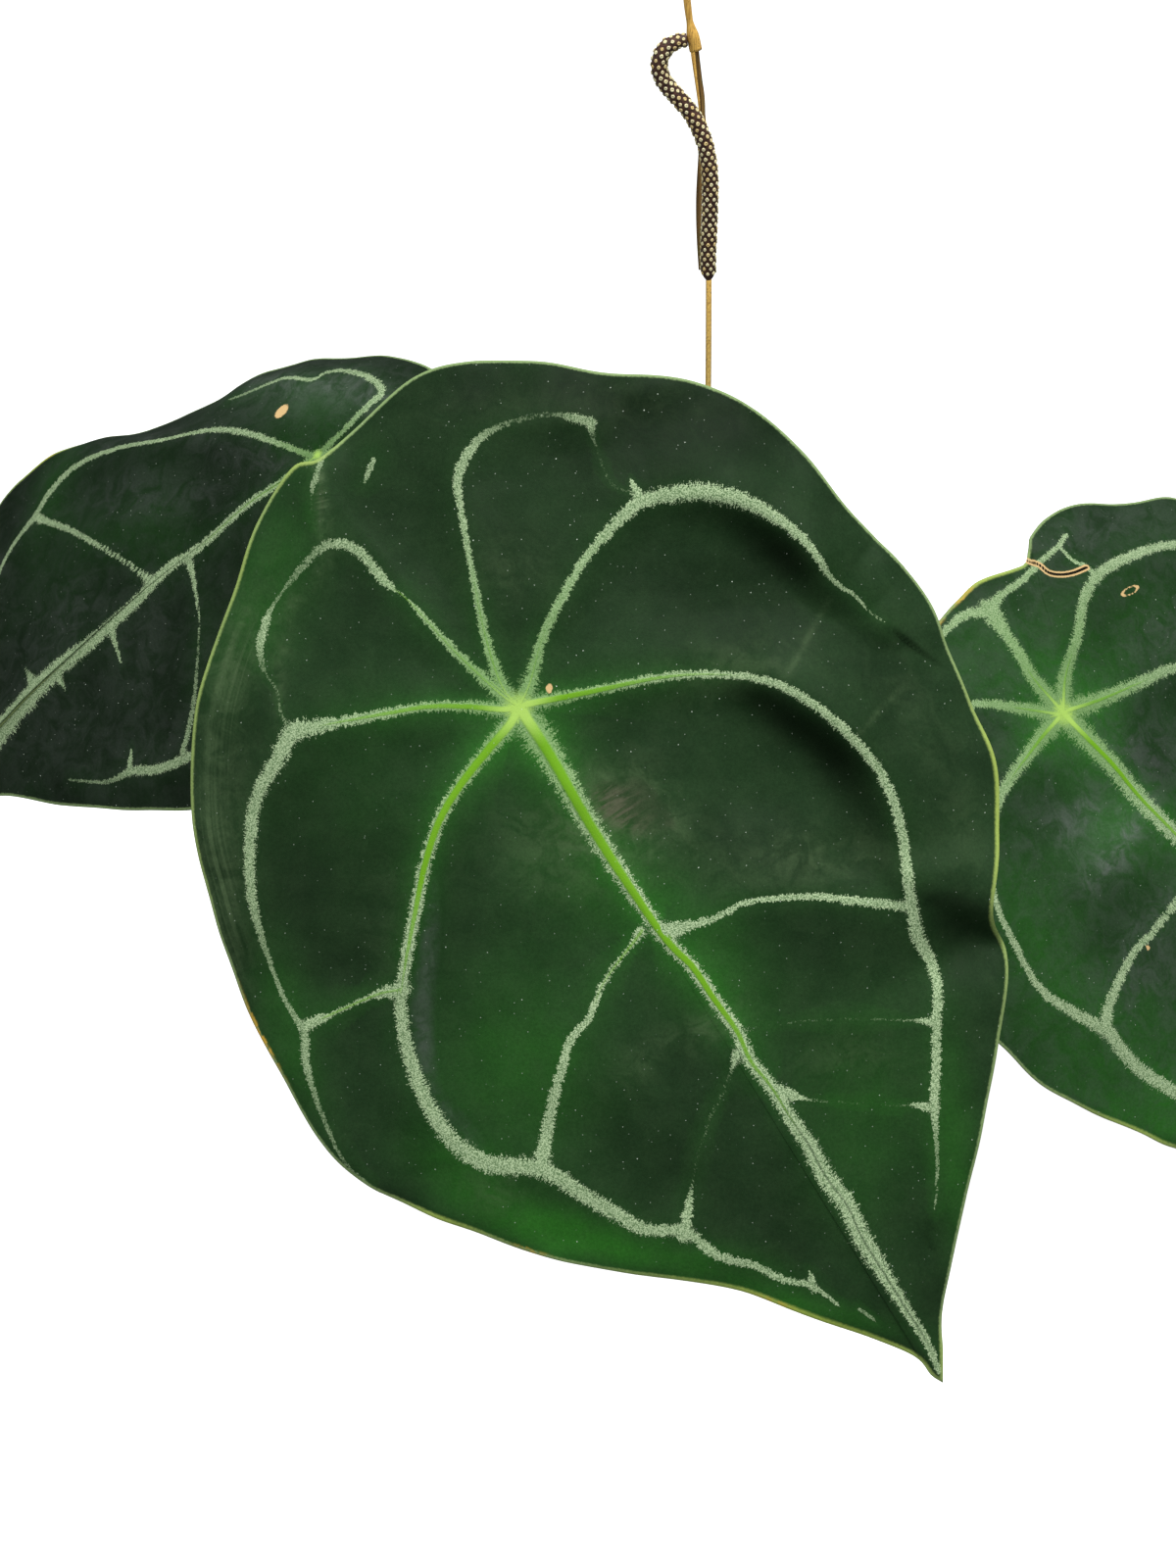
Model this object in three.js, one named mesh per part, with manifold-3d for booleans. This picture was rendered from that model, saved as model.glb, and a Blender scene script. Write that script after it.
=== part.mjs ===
// A potted anthurium forgetii: three peltate leaves, a hanging inflorescence and a plain clay pot.
// Millimetres, +Z up. The origin is the centre of the pot's flat foot; the big leaf hangs to the front, -Y.

import * as THREE from 'three';
import { mergeVertices } from 'three/addons/utils/BufferGeometryUtils.js';
import Module from 'manifold-3d';

const wasm = await Module();
wasm.setup();

// Clearance between pieces that touch on the real plant.
const SEAT_GAP = 0.3;

// The pot: a tapered clay pot with a collar round its rim and three drainage holes in its foot.
const POT_HEIGHT = 125;
const POT_FOOT_RADIUS = 45;
const POT_RIM_RADIUS = 70;
const POT_WALL = 5.5;
const POT_FLOOR = 7;
const COLLAR_HEIGHT = 30;
const COLLAR_STEP = 4.5;
const DRAIN_RADIUS = 4;
const DRAIN_CIRCLE_RADIUS = 24;
const DRAIN_COUNT = 3;

// The mix fills the pot to this height, and the stem stands in it.
const SOIL_LEVEL = 110;
const STEM_RADIUS = 8;
const STEM_TOP = 151;
const STEM_FOOT = 80;
const RING_SCAR_RISE = 0.4;
const RING_SCAR_LEVELS = [117, 125, 134, 142];

// Leaf blades are thin sheets. Rings run round each blade, from its stalk to its margin.
const BLADE_THICKNESS = 0.9;
const BLADE_RINGS = 6;
const MARGIN_STEPS = 2;
const MARGIN_BOW = 2.6;

// Leaf stalks: sheathed foot, slim middle and the swollen neck that turns the blade.
const STALK_FOOT_RADIUS = 4;
const STALK_RADIUS = 2.6;
const NECK_RADIUS = 3.6;
const NECK_LENGTH = 18;

// The flower stalk, and the spike that hangs from it.
const FLOWER_STALK_RADIUS = 1;
const FLOWER_STALK_FOOT_RADIUS = 2.2;
const FLOWER_NODE_RADIUS = 1.7;
const SPADIX_RADIUS = 2.7;
const SPATHE_HALF_WIDTH = 3;
const SPATHE_THICKNESS = 0.6;

const ROOT_RADIUS = 1.8;
const CHIP_COUNT = 8;

// Each blade: where its stalk joins it, which way its upper face looks, its margin and its broad swells.
// A margin point is [right, up, lift] in the blade's own frame, counted from the stalk, tip to tip.
// A swell is a soft rise or dip of the sheet: its middle, its two reaches, its turn in degrees, its rise.
const BLADES = {
  main: {
    attach: [-51, -143, 254],
    face: [0, -0.788, 0.6157],
    margin: [
      [106, -169, -12], [106, -161, -12], [106, -150, -11], [110, -127, -9], [116, -100, -8],
      [121, -73, -9], [122, -61, -11], [117, -50, -3], [119, -33, -6], [119, -14, -9],
      [113, 1, -10], [107, 15, -10], [100, 30, -9], [82, 49, -8], [70, 64, -8],
      [59, 74, -8], [43, 81, -6], [22, 83, -5], [4, 86, -6], [-13, 86, -7],
      [-27, 82, -8], [-42, 69, -9], [-50, 62, -9], [-57, 60, -10], [-66, 47, -12],
      [-72, 30, -14], [-79, 12, -15], [-83, -5, -16], [-83, -29, -16], [-78, -49, -15],
      [-69, -74, -12], [-60, -90, -10], [-50, -107, -9], [-37, -119, -8], [-12, -130, -7],
      [10, -137, -6], [34, -141, -6], [56, -145, -7], [76, -153, -9], [97, -161, -11],
      [103, -167, -12], [106, -169, -12],
    ],
    swells: [
      { at: [55, -16], reach: [22, 17], turn: -35, rise: -4 },
      { at: [48, 27], reach: [22, 15], turn: -30, rise: -3 },
      { at: [109, -59], reach: [13, 8], turn: 35, rise: -5 },
      { at: [103, -42], reach: [14, 7], turn: 10, rise: 2.5 },
      { at: [-35, -45], reach: [24, 40], turn: 0, rise: 3 },
      { at: [30, -95], reach: [34, 20], turn: -40, rise: 3 },
    ],
  },
  left: {
    attach: [-111, -34, 264],
    face: [-0.45, -0.5, 0.74],
    margin: [
      [-93, -169, -22], [-81, -149, -18], [-58, -135, -15], [-31, -126, -13], [-6, -116, -12],
      [14, -106, -12], [31, -93, -12], [44, -75, -12], [52, -50, -12], [54, -24, -11],
      [50, 0, -11], [41, 19, -10], [27, 33, -10], [12, 38, -10], [-6, 37, -12],
      [-20, 32, -12], [-34, 26, -12], [-47, 18, -12], [-59, 3, -12], [-78, -15, -12],
      [-92, -23, -12], [-107, -32, -12], [-116, -43, -12], [-120, -59, -12], [-118, -81, -14],
      [-107, -118, -16], [-98, -149, -20], [-93, -169, -22],
    ],
    swells: [
      { at: [-58, -50], reach: [30, 18], turn: 60, rise: 4 },
      { at: [5, -62], reach: [30, 20], turn: 60, rise: 3 },
    ],
  },
  right: {
    attach: [109, -55, 188],
    face: [0.35, -0.6, 0.72],
    margin: [
      [84, -182, -16], [90, -160, -14], [97, -130, -12], [104, -90, -10], [108, -50, -9],
      [107, -15, -9], [102, 15, -8], [92, 38, -8], [79, 52, -8], [62, 55, -8],
      [40, 60, -8], [28, 59, -7], [18, 55, -6], [15, 52, -6], [13, 47, -6],
      [7, 47, -8], [-6, 47, -8], [-14, 44, -8], [-23, 40, -8], [-42, 30, -8],
      [-59, 12, -8], [-70, -10, -9], [-74, -34, -9], [-70, -60, -10], [-58, -82, -10],
      [-47, -102, -10], [-25, -123, -10], [-14, -133, -10], [10, -147, -11], [38, -159, -12],
      [62, -170, -14], [76, -178, -15], [84, -182, -16],
    ],
    swells: [
      { at: [48, -18], reach: [26, 18], turn: -25, rise: -3 },
      { at: [-30, -45], reach: [22, 30], turn: 0, rise: 3 },
    ],
  },
};

// Leaf stalks, from the middle of the stem to the last bend before the blade, where the neck takes over.
const LEAF_STALKS = {
  main: {
    side: [1, 0, 0],
    bends: [[0, 0, 132], [-1, -14, 146], [-9, -38, 185], [-26, -74, 219], [-42, -108, 232]],
  },
  left: {
    side: [0, 1, 0],
    bends: [[0, 0, 128], [-14, -1, 141], [-34, -3, 186], [-66, -10, 225], [-90, -18, 240]],
  },
  right: {
    side: [0, 1, 0],
    bends: [[0, 0, 120], [14, -3, 132], [36, -13, 146], [66, -27, 150], [91, -38, 158]],
  },
};

// The flower stalk rises behind the stem, arches over and comes down to the node that holds the spike.
const FLOWER_STALK_PATH = [
  [0, 0, 140], [1, 3, 158], [4, 26, 190], [6, 57, 222], [6.5, 80, 250], [6, 97, 280], [4, 108, 308],
  [-0.5, 114, 335], [-4, 114, 362], [-5, 105, 386], [-6, 87, 398], [-6, 70, 392], [-5.6, 62, 378],
  [-5.3, 60, 364], [-4.4, 60, 358], [-3.5, 60, 354], [-2.6, 60, 350.5], [-2, 60, 348],
];
const SPADIX_PATH = [
  [-4.7, 60, 351.1], [-7.9, 60, 350.4], [-10.8, 60, 348.7], [-12.6, 60, 345.3], [-12.5, 60, 341.7],
  [-10.8, 60, 338.2], [-8.4, 60, 335.5], [-5.6, 60, 332.6], [-2.8, 60, 329.2], [-0.6, 60, 325.5],
  [1.3, 60, 321.3], [2.6, 60, 316.8], [3.7, 60, 309.7], [4, 60, 301.9], [4.1, 60, 294],
  [4.1, 60, 285], [4.5, 60, 276],
];
const SPATHE_PATH = [
  [-1.9, 60, 347.6], [-1.3, 60.6, 344], [-0.3, 62.3, 338], [0.4, 65, 331], [0.6, 67, 322],
  [0.3, 67.7, 312], [0.3, 67.7, 300], [0.8, 67.3, 286], [1.7, 66.5, 277],
];
const SPATHE_SIDE = [0.33, 0.94, 0];

// Sheaths stand round the stem at these bearings; roots leave it lower down and dive into the mix.
const CATAPHYLLS = [
  { bearing: 45, halfAngle: 24, foot: 113, height: 48, lean: 7 },
  { bearing: 135, halfAngle: 24, foot: 112, height: 56, lean: 9 },
  { bearing: 225, halfAngle: 11, foot: 114, height: 40, lean: 6 },
];
const CATAPHYLL_THICKNESS = 0.5;
const CATAPHYLL_CLEARANCE = 0.8;
const ROOTS = [
  { bearing: 82, level: 121, reach: 27 },
  { bearing: 250, level: 118, reach: 25 },
  { bearing: 291, level: 121, reach: 28 },
];

const materials = {
  blade: new THREE.MeshStandardMaterial({ color: 0x24402a, roughness: 0.45, metalness: 0 }),
  stalk: new THREE.MeshStandardMaterial({ color: 0x4d6b34, roughness: 0.5, metalness: 0 }),
  stem: new THREE.MeshStandardMaterial({ color: 0x5a6238, roughness: 0.65, metalness: 0 }),
  flowerStalk: new THREE.MeshStandardMaterial({ color: 0xb28437, roughness: 0.5, metalness: 0 }),
  spathe: new THREE.MeshStandardMaterial({ color: 0x735833, roughness: 0.55, metalness: 0 }),
  spadix: new THREE.MeshStandardMaterial({ color: 0x3c2420, roughness: 0.6, metalness: 0 }),
  cataphyll: new THREE.MeshStandardMaterial({ color: 0x8a6a42, roughness: 0.85, metalness: 0 }),
  root: new THREE.MeshStandardMaterial({ color: 0xa39a78, roughness: 0.8, metalness: 0 }),
  mix: new THREE.MeshStandardMaterial({ color: 0x33261c, roughness: 0.95, metalness: 0 }),
  bark: new THREE.MeshStandardMaterial({ color: 0x6b4a30, roughness: 0.9, metalness: 0 }),
  pot: new THREE.MeshStandardMaterial({ color: 0xb06a48, roughness: 0.85, metalness: 0 }),
};

const plant = new THREE.Group();

function addPiece(name, geometry, material) {
  const mesh = new THREE.Mesh(geometry, material);
  mesh.name = name;
  plant.add(mesh);
  return mesh;
}

function toVectors(points) {
  return points.map((point) => new THREE.Vector3(...point));
}

function indexedGeometry(vertices, triangles) {
  const geometry = new THREE.BufferGeometry();
  geometry.setAttribute('position', new THREE.Float32BufferAttribute(vertices.flat(), 3));
  geometry.setIndex(triangles.flat());
  return geometry;
}

function toSolid(geometry) {
  const bare = geometry.clone();
  bare.deleteAttribute('normal');
  bare.deleteAttribute('uv');
  const merged = mergeVertices(bare, 1e-4);
  return new wasm.Manifold(new wasm.Mesh({
    numProp: 3,
    vertProperties: new Float32Array(merged.attributes.position.array),
    triVerts: new Uint32Array(merged.index.array),
  }));
}

function fromSolid(solid) {
  const mesh = solid.getMesh();
  const geometry = new THREE.BufferGeometry();
  geometry.setAttribute('position', new THREE.BufferAttribute(mesh.vertProperties, 3));
  geometry.setIndex(new THREE.BufferAttribute(mesh.triVerts, 1));
  return geometry;
}

// A profile of [radius, height] turned about the Z axis.
function turned(profile, segments) {
  const points = profile.map(([radius, height]) => new THREE.Vector2(radius, height));
  return new THREE.LatheGeometry(points, segments).rotateX(Math.PI / 2);
}

// A closed rod along a smooth path. sectionAt(s) gives the section's [along side, across] points at
// the share s of the length, and side is the direction that the section's first axis keeps to.
function sweep(path, sectionAt, side, steps) {
  const curve = new THREE.CatmullRomCurve3(toVectors(path), false, 'centripetal');
  const sideAxis = new THREE.Vector3(...side);
  const count = sectionAt(0).length;
  const vertices = [];
  const triangles = [];
  for (let i = 0; i <= steps; i += 1) {
    const share = i / steps;
    const middle = curve.getPointAt(share);
    const tangent = curve.getTangentAt(share);
    const first = sideAxis.clone().addScaledVector(tangent, -sideAxis.dot(tangent)).normalize();
    const second = new THREE.Vector3().crossVectors(tangent, first);
    for (const [a, b] of sectionAt(share)) {
      vertices.push(middle.clone().addScaledVector(first, a).addScaledVector(second, b).toArray());
    }
  }
  for (let i = 0; i < steps; i += 1) {
    for (let k = 0; k < count; k += 1) {
      const next = (k + 1) % count;
      const here = i * count;
      const there = here + count;
      triangles.push([here + k, here + next, there + next], [here + k, there + next, there + k]);
    }
  }
  const startMiddle = vertices.push(curve.getPointAt(0).toArray()) - 1;
  const endMiddle = vertices.push(curve.getPointAt(1).toArray()) - 1;
  for (let k = 0; k < count; k += 1) {
    const next = (k + 1) % count;
    triangles.push([startMiddle, next, k], [endMiddle, steps * count + k, steps * count + next]);
  }
  return indexedGeometry(vertices, triangles);
}

function circle(radius, sides) {
  const angles = Array.from({ length: sides }, (_, k) => (2 * Math.PI * k) / sides);
  return angles.map((angle) => [radius * Math.cos(angle), radius * Math.sin(angle)]);
}

// A sheet of even thickness over a grid of columns and rows. surfaceAt(u, v, offset) gives a point of
// the face that lies offset outside the inner face.
function sheet(surfaceAt, columns, rows, thickness) {
  const vertices = [];
  const triangles = [];
  const width = columns + 1;
  const layer = width * (rows + 1);
  for (const offset of [thickness, 0]) {
    for (let j = 0; j <= rows; j += 1) {
      for (let i = 0; i <= columns; i += 1) {
        vertices.push(surfaceAt((2 * i) / columns - 1, j / rows, offset));
      }
    }
  }
  for (let j = 0; j < rows; j += 1) {
    for (let i = 0; i < columns; i += 1) {
      const a = j * width + i;
      triangles.push([a, a + 1, a + width + 1], [a, a + width + 1, a + width]);
      const b = a + layer;
      triangles.push([b, b + width + 1, b + 1], [b, b + width, b + width + 1]);
    }
  }
  const run = (count, indexAt) => Array.from({ length: count }, (_, k) => indexAt(k));
  const edge = [
    ...run(columns, (k) => k),
    ...run(rows, (k) => k * width + columns),
    ...run(columns, (k) => rows * width + columns - k),
    ...run(rows, (k) => (rows - k) * width),
  ];
  edge.forEach((a, k) => {
    const b = edge[(k + 1) % edge.length];
    triangles.push([a, a + layer, b + layer], [a, b + layer, b]);
  });
  return indexedGeometry(vertices, triangles);
}

// The pot and its mix share the straight inner wall, which widens from the floor to the rim.
const innerFootRadius = POT_FOOT_RADIUS - 1.5;
const innerRimRadius = POT_RIM_RADIUS - POT_WALL;

function innerRadiusAt(height) {
  const share = (height - POT_FLOOR) / (POT_HEIGHT - POT_FLOOR);
  return innerFootRadius + share * (innerRimRadius - innerFootRadius);
}

function makePot() {
  const collarFoot = POT_HEIGHT - COLLAR_HEIGHT;
  const underCollar = POT_RIM_RADIUS - COLLAR_STEP - 3;
  const wall = turned([
    [0, 0],
    [POT_FOOT_RADIUS, 0],
    [POT_FOOT_RADIUS + 2, 2],
    [underCollar, collarFoot - 1],
    [POT_RIM_RADIUS - 2, collarFoot + 2],
    [POT_RIM_RADIUS, POT_HEIGHT - 3],
    [POT_RIM_RADIUS - 2, POT_HEIGHT],
    [innerRimRadius, POT_HEIGHT],
    [innerFootRadius, POT_FLOOR],
    [0, POT_FLOOR],
  ], 48);
  let solid = toSolid(wall);
  for (let k = 0; k < DRAIN_COUNT; k += 1) {
    const angle = (2 * Math.PI * k) / DRAIN_COUNT + Math.PI / 2;
    const drill = new THREE.CylinderGeometry(DRAIN_RADIUS, DRAIN_RADIUS, 3 * POT_FLOOR, 16);
    drill.rotateX(Math.PI / 2);
    drill.translate(DRAIN_CIRCLE_RADIUS * Math.cos(angle), DRAIN_CIRCLE_RADIUS * Math.sin(angle), 0);
    solid = solid.subtract(toSolid(drill));
  }
  return fromSolid(solid);
}

function makeMix() {
  const socket = STEM_RADIUS + RING_SCAR_RISE + SEAT_GAP;
  return turned([
    [0, POT_FLOOR + SEAT_GAP],
    [innerFootRadius - SEAT_GAP, POT_FLOOR + SEAT_GAP],
    [innerRadiusAt(SOIL_LEVEL) - 1.5 * SEAT_GAP, SOIL_LEVEL],
    [socket, SOIL_LEVEL],
    [socket, STEM_FOOT],
    [0, STEM_FOOT],
  ], 48);
}

// The stem, or the same shape grown outward by a clearance, which the stalks and roots are cut with.
function stemShape(growth) {
  const foot = STEM_FOOT + SEAT_GAP - growth;
  const profile = [[0, foot], [STEM_RADIUS + growth, foot]];
  for (const level of RING_SCAR_LEVELS) {
    profile.push([STEM_RADIUS + growth, level - 1]);
    profile.push([STEM_RADIUS + RING_SCAR_RISE + growth, level]);
    profile.push([STEM_RADIUS + growth, level + 1]);
  }
  profile.push([STEM_RADIUS * 0.85 + growth, STEM_TOP - 5]);
  profile.push([STEM_RADIUS * 0.45 + growth, STEM_TOP - 1]);
  profile.push([0, STEM_TOP + growth]);
  return turned(profile, 24);
}

const grownStem = toSolid(stemShape(SEAT_GAP));

function cutByStem(geometry) {
  return fromSolid(toSolid(geometry).subtract(grownStem));
}

function bladePlace({ attach, face }) {
  const normal = new THREE.Vector3(...face).normalize();
  const right = new THREE.Vector3(0, 0, 1).cross(normal).normalize();
  const up = new THREE.Vector3().crossVectors(normal, right);
  return new THREE.Matrix4().makeBasis(right, up, normal).setPosition(...attach);
}

function swellAt(swells, x, y) {
  return swells.reduce((sum, { at, reach, turn, rise }) => {
    const angle = THREE.MathUtils.degToRad(turn);
    const dx = x - at[0];
    const dy = y - at[1];
    const along = (dx * Math.cos(angle) + dy * Math.sin(angle)) / reach[0];
    const across = (dy * Math.cos(angle) - dx * Math.sin(angle)) / reach[1];
    return sum + rise * Math.exp(-along * along - across * across);
  }, 0);
}

// A blade is a fan of rings from the stalk to the margin. A ring at the share r of the way out is lifted
// by r ** MARGIN_BOW of the margin's lift, so the sheet is flat at the stalk and bows near its margin.
function makeBlade({ margin, swells }) {
  const outline = new THREE.CatmullRomCurve3(toVectors(margin), false, 'catmullrom', 0.5);
  const rim = outline.getPoints((margin.length - 1) * MARGIN_STEPS).slice(0, -1);
  const vertices = [];
  const triangles = [];
  const layer = 1 + BLADE_RINGS * rim.length;
  const stalkLift = swellAt(swells, 0, 0);
  for (const offset of [BLADE_THICKNESS / 2, -BLADE_THICKNESS / 2]) {
    vertices.push([0, 0, offset]);
    for (let ring = 1; ring <= BLADE_RINGS; ring += 1) {
      const share = ring / BLADE_RINGS;
      for (const point of rim) {
        const x = point.x * share;
        const y = point.y * share;
        const lift = point.z * share ** MARGIN_BOW + swellAt(swells, x, y) - stalkLift;
        vertices.push([x, y, lift + offset]);
      }
    }
  }
  for (let k = 0; k < rim.length; k += 1) {
    const next = (k + 1) % rim.length;
    triangles.push([0, 1 + k, 1 + next], [layer, layer + 1 + next, layer + 1 + k]);
    for (let ring = 1; ring < BLADE_RINGS; ring += 1) {
      const inner = 1 + (ring - 1) * rim.length;
      const outer = inner + rim.length;
      triangles.push([inner + k, outer + k, outer + next], [inner + k, outer + next, inner + next]);
      const low = inner + layer;
      const high = outer + layer;
      triangles.push([low + k, high + next, high + k], [low + k, low + next, high + next]);
    }
    const edge = 1 + (BLADE_RINGS - 1) * rim.length;
    const under = edge + layer;
    triangles.push([edge + k, under + k, under + next], [edge + k, under + next, edge + next]);
  }
  return indexedGeometry(vertices, triangles);
}

// A leaf stalk runs through its bends and ends square to the blade's underside, in a swollen neck.
function makeLeafStalk({ side, bends }, { attach, face }) {
  const normal = new THREE.Vector3(...face).normalize();
  const seat = new THREE.Vector3(...attach).addScaledVector(normal, -BLADE_THICKNESS / 2 - SEAT_GAP);
  const neck = seat.clone().addScaledVector(normal, -NECK_LENGTH);
  const halfNeck = seat.clone().addScaledVector(normal, -NECK_LENGTH / 2);
  const path = [...bends, neck.toArray(), halfNeck.toArray(), seat.toArray()];
  const radiusAt = (share) => {
    const foot = (STALK_FOOT_RADIUS - STALK_RADIUS) * Math.exp(-((share / 0.14) ** 2));
    const swollen = (NECK_RADIUS - STALK_RADIUS) * THREE.MathUtils.smoothstep(share, 0.88, 0.95);
    return STALK_RADIUS + foot + swollen;
  };
  return cutByStem(sweep(path, (share) => circle(radiusAt(share), 8), side, 22));
}

function makeFlowerStalk() {
  const radiusAt = (share) => {
    const foot = (FLOWER_STALK_FOOT_RADIUS - FLOWER_STALK_RADIUS) * Math.exp(-((share / 0.1) ** 2));
    const node = (FLOWER_NODE_RADIUS - FLOWER_STALK_RADIUS) * THREE.MathUtils.smoothstep(share, 0.975, 0.99);
    return FLOWER_STALK_RADIUS + foot + node;
  };
  return cutByStem(sweep(FLOWER_STALK_PATH, (share) => circle(radiusAt(share), 8), [1, 0, 0], 64));
}

function makeSpadix() {
  const radiusAt = (share) => {
    const foot = THREE.MathUtils.lerp(0.8, 1, THREE.MathUtils.smoothstep(share, 0, 0.1));
    const tip = Math.sqrt(Math.max(0, 1 - Math.max(0, (share - 0.95) / 0.05) ** 2 * 0.85));
    return SPADIX_RADIUS * foot * tip;
  };
  return sweep(SPADIX_PATH, (share) => circle(radiusAt(share), 10), [0, 1, 0], 34);
}

function makeSpathe() {
  const sectionAt = (share) => {
    const width = SPATHE_HALF_WIDTH * (0.22 + 0.78 * Math.sin(Math.PI * (share * 0.92 + 0.04)));
    const inset = width * 0.6;
    const half = SPATHE_THICKNESS / 2;
    return [[width, 0], [inset, half], [-inset, half], [-width, 0], [-inset, -half], [inset, -half]];
  };
  return sweep(SPATHE_PATH, sectionAt, SPATHE_SIDE, 24);
}

// A papery sheath: a pointed strip that wraps part of the stem and leans out towards its tip.
function makeCataphyll({ bearing, halfAngle, foot, height, lean }) {
  const surfaceAt = (u, v, offset) => {
    const width = halfAngle * (1 - 0.94 * v ** 1.6);
    const angle = THREE.MathUtils.degToRad(bearing + u * width);
    const radius = STEM_RADIUS + CATAPHYLL_CLEARANCE + lean * v * v + offset;
    return [radius * Math.cos(angle), radius * Math.sin(angle), foot + v * height];
  };
  return sheet(surfaceAt, 6, 8, CATAPHYLL_THICKNESS);
}

// A root leaves the stem level, bends over and ends square on the mix.
function makeRoot({ bearing, level, reach }) {
  const angle = THREE.MathUtils.degToRad(bearing);
  const at = (radius, height) => [radius * Math.cos(angle), radius * Math.sin(angle), height];
  const path = [
    at(2, level), at(STEM_RADIUS + 4, level), at(reach * 0.75, level - 1.5), at(reach - 1, SOIL_LEVEL + 5),
    at(reach, SOIL_LEVEL + 2), at(reach, SOIL_LEVEL + SEAT_GAP),
  ];
  const side = [-Math.sin(angle), Math.cos(angle), 0];
  return cutByStem(sweep(path, () => circle(ROOT_RADIUS, 8), side, 14));
}

// A bark chip: a low block with a crooked six-sided outline that changes from chip to chip.
function makeChip(index) {
  const outline = new THREE.Shape();
  for (let k = 0; k < 6; k += 1) {
    const angle = (2 * Math.PI * k) / 6 + 0.5 * Math.sin(index * 2.1);
    const radius = 5.5 + 1.4 * Math.sin(index * 3.7 + k * 2.3);
    const x = radius * 1.25 * Math.cos(angle);
    const y = radius * 0.8 * Math.sin(angle);
    if (k === 0) {
      outline.moveTo(x, y);
    } else {
      outline.lineTo(x, y);
    }
  }
  outline.closePath();
  const depth = 4.5 + 1.5 * Math.sin(index * 1.9);
  return new THREE.ExtrudeGeometry(outline, { depth, bevelEnabled: false });
}

addPiece('pot', makePot(), materials.pot);
addPiece('potting_mix', makeMix(), materials.mix);
addPiece('stem', stemShape(0), materials.stem);

for (const name of Object.keys(BLADES)) {
  const blade = addPiece(`blade_${name}`, makeBlade(BLADES[name]), materials.blade);
  blade.applyMatrix4(bladePlace(BLADES[name]));
  addPiece(`petiole_${name}`, makeLeafStalk(LEAF_STALKS[name], BLADES[name]), materials.stalk);
}

addPiece('peduncle', makeFlowerStalk(), materials.flowerStalk);
addPiece('spathe', makeSpathe(), materials.spathe);
addPiece('spadix', makeSpadix(), materials.spadix);

CATAPHYLLS.forEach((sheath, k) => {
  addPiece(`cataphyll_${k + 1}`, makeCataphyll(sheath), materials.cataphyll);
});
ROOTS.forEach((root, k) => {
  addPiece(`aerial_root_${k + 1}`, makeRoot(root), materials.root);
});

// Chips lie in two rows, before and behind the stem, so that both sides of the headspace stay open.
for (let k = 0; k < CHIP_COUNT; k += 1) {
  const row = k < CHIP_COUNT / 2 ? -1 : 1;
  const along = (k % 4) - 1.5;
  const chip = addPiece(`bark_chip_${k + 1}`, makeChip(k), materials.bark);
  chip.position.set(along * 22 + 3 * row, row * (45 - 3.5 * along * along), SOIL_LEVEL + SEAT_GAP);
  chip.rotation.z = k * 1.3;
}

export default plant;
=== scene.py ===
"""A potted anthurium forgetii: dark velvet leaves veined in silver, a hanging spike and a clay pot.

Sizes are millimetres unless a name says otherwise, and MM turns them into the scene's metres. A leaf's own
frame is [right, up, lift] in millimetres, counted from the point where its stalk joins it.
"""

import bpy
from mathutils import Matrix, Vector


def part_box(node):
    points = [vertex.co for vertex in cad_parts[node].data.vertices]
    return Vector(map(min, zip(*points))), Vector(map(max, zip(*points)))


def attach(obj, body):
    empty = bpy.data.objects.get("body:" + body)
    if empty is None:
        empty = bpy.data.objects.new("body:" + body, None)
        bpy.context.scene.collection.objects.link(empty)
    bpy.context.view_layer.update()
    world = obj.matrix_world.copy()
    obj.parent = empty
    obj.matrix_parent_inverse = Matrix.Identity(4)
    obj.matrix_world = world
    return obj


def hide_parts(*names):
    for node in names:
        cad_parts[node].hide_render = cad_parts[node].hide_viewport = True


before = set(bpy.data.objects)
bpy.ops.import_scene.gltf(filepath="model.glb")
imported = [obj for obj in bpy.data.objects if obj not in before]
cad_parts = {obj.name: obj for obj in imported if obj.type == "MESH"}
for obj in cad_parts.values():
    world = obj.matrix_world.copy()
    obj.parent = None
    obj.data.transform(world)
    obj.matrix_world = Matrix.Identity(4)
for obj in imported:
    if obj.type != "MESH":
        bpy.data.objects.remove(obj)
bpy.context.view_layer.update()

import math

import bpy
import numpy as np

bl_info = {
    "name": "Potted anthurium",
    "version": (1, 0, 0),
    "blender": (4, 5, 0),
    "location": "3D View > Sidebar > Plant",
    "description": "Makes a potted anthurium with silver-veined leaves, piece by piece",
    "category": "Add Mesh",
}

MM = 0.001

# The pot, its mix and the stem.
POT_HEIGHT = 125
POT_FLOOR = 7
POT_LEDGE = 97.4
POT_PROFILE = [
    (0, 0), (45, 0), (47, 2), (62.5, 94), (68, 97), (70, 122), (68, 125), (64.5, 125), (43.5, 7), (0, 7),
]
DRAIN_RADIUS = 4
DRAIN_CIRCLE_RADIUS = 24
DRAIN_ANGLES = (90, 210, 330)
SOIL_LEVEL = 110
SEAT_GAP = 0.3
STEM_RADIUS = 8
STEM_FOOT = 80.3
STEM_TOP = 151
STEM_SOCKET = 8.7
RING_SCAR_LEVELS = (117, 125, 134, 142)

# Leaf blades: the sheet's thickness, and how its bow grows from the stalk to the margin.
BLADE_THICKNESS = 0.9
MARGIN_BOW = 2.6
RIM_BOW = 8

# Stalks.
STALK_FOOT_RADIUS = 4
STALK_RADIUS = 2.6
NECK_RADIUS = 3.6
NECK_LENGTH = 18
FLOWER_STALK_RADIUS = 1
FLOWER_STALK_FOOT_RADIUS = 2.2
FLOWER_NODE_RADIUS = 1.9
SPADIX_RADIUS = 2.7
SPATHE_HALF_WIDTH = 3
SPATHE_THICKNESS = 0.6
ROOT_RADIUS = 1.8


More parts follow.
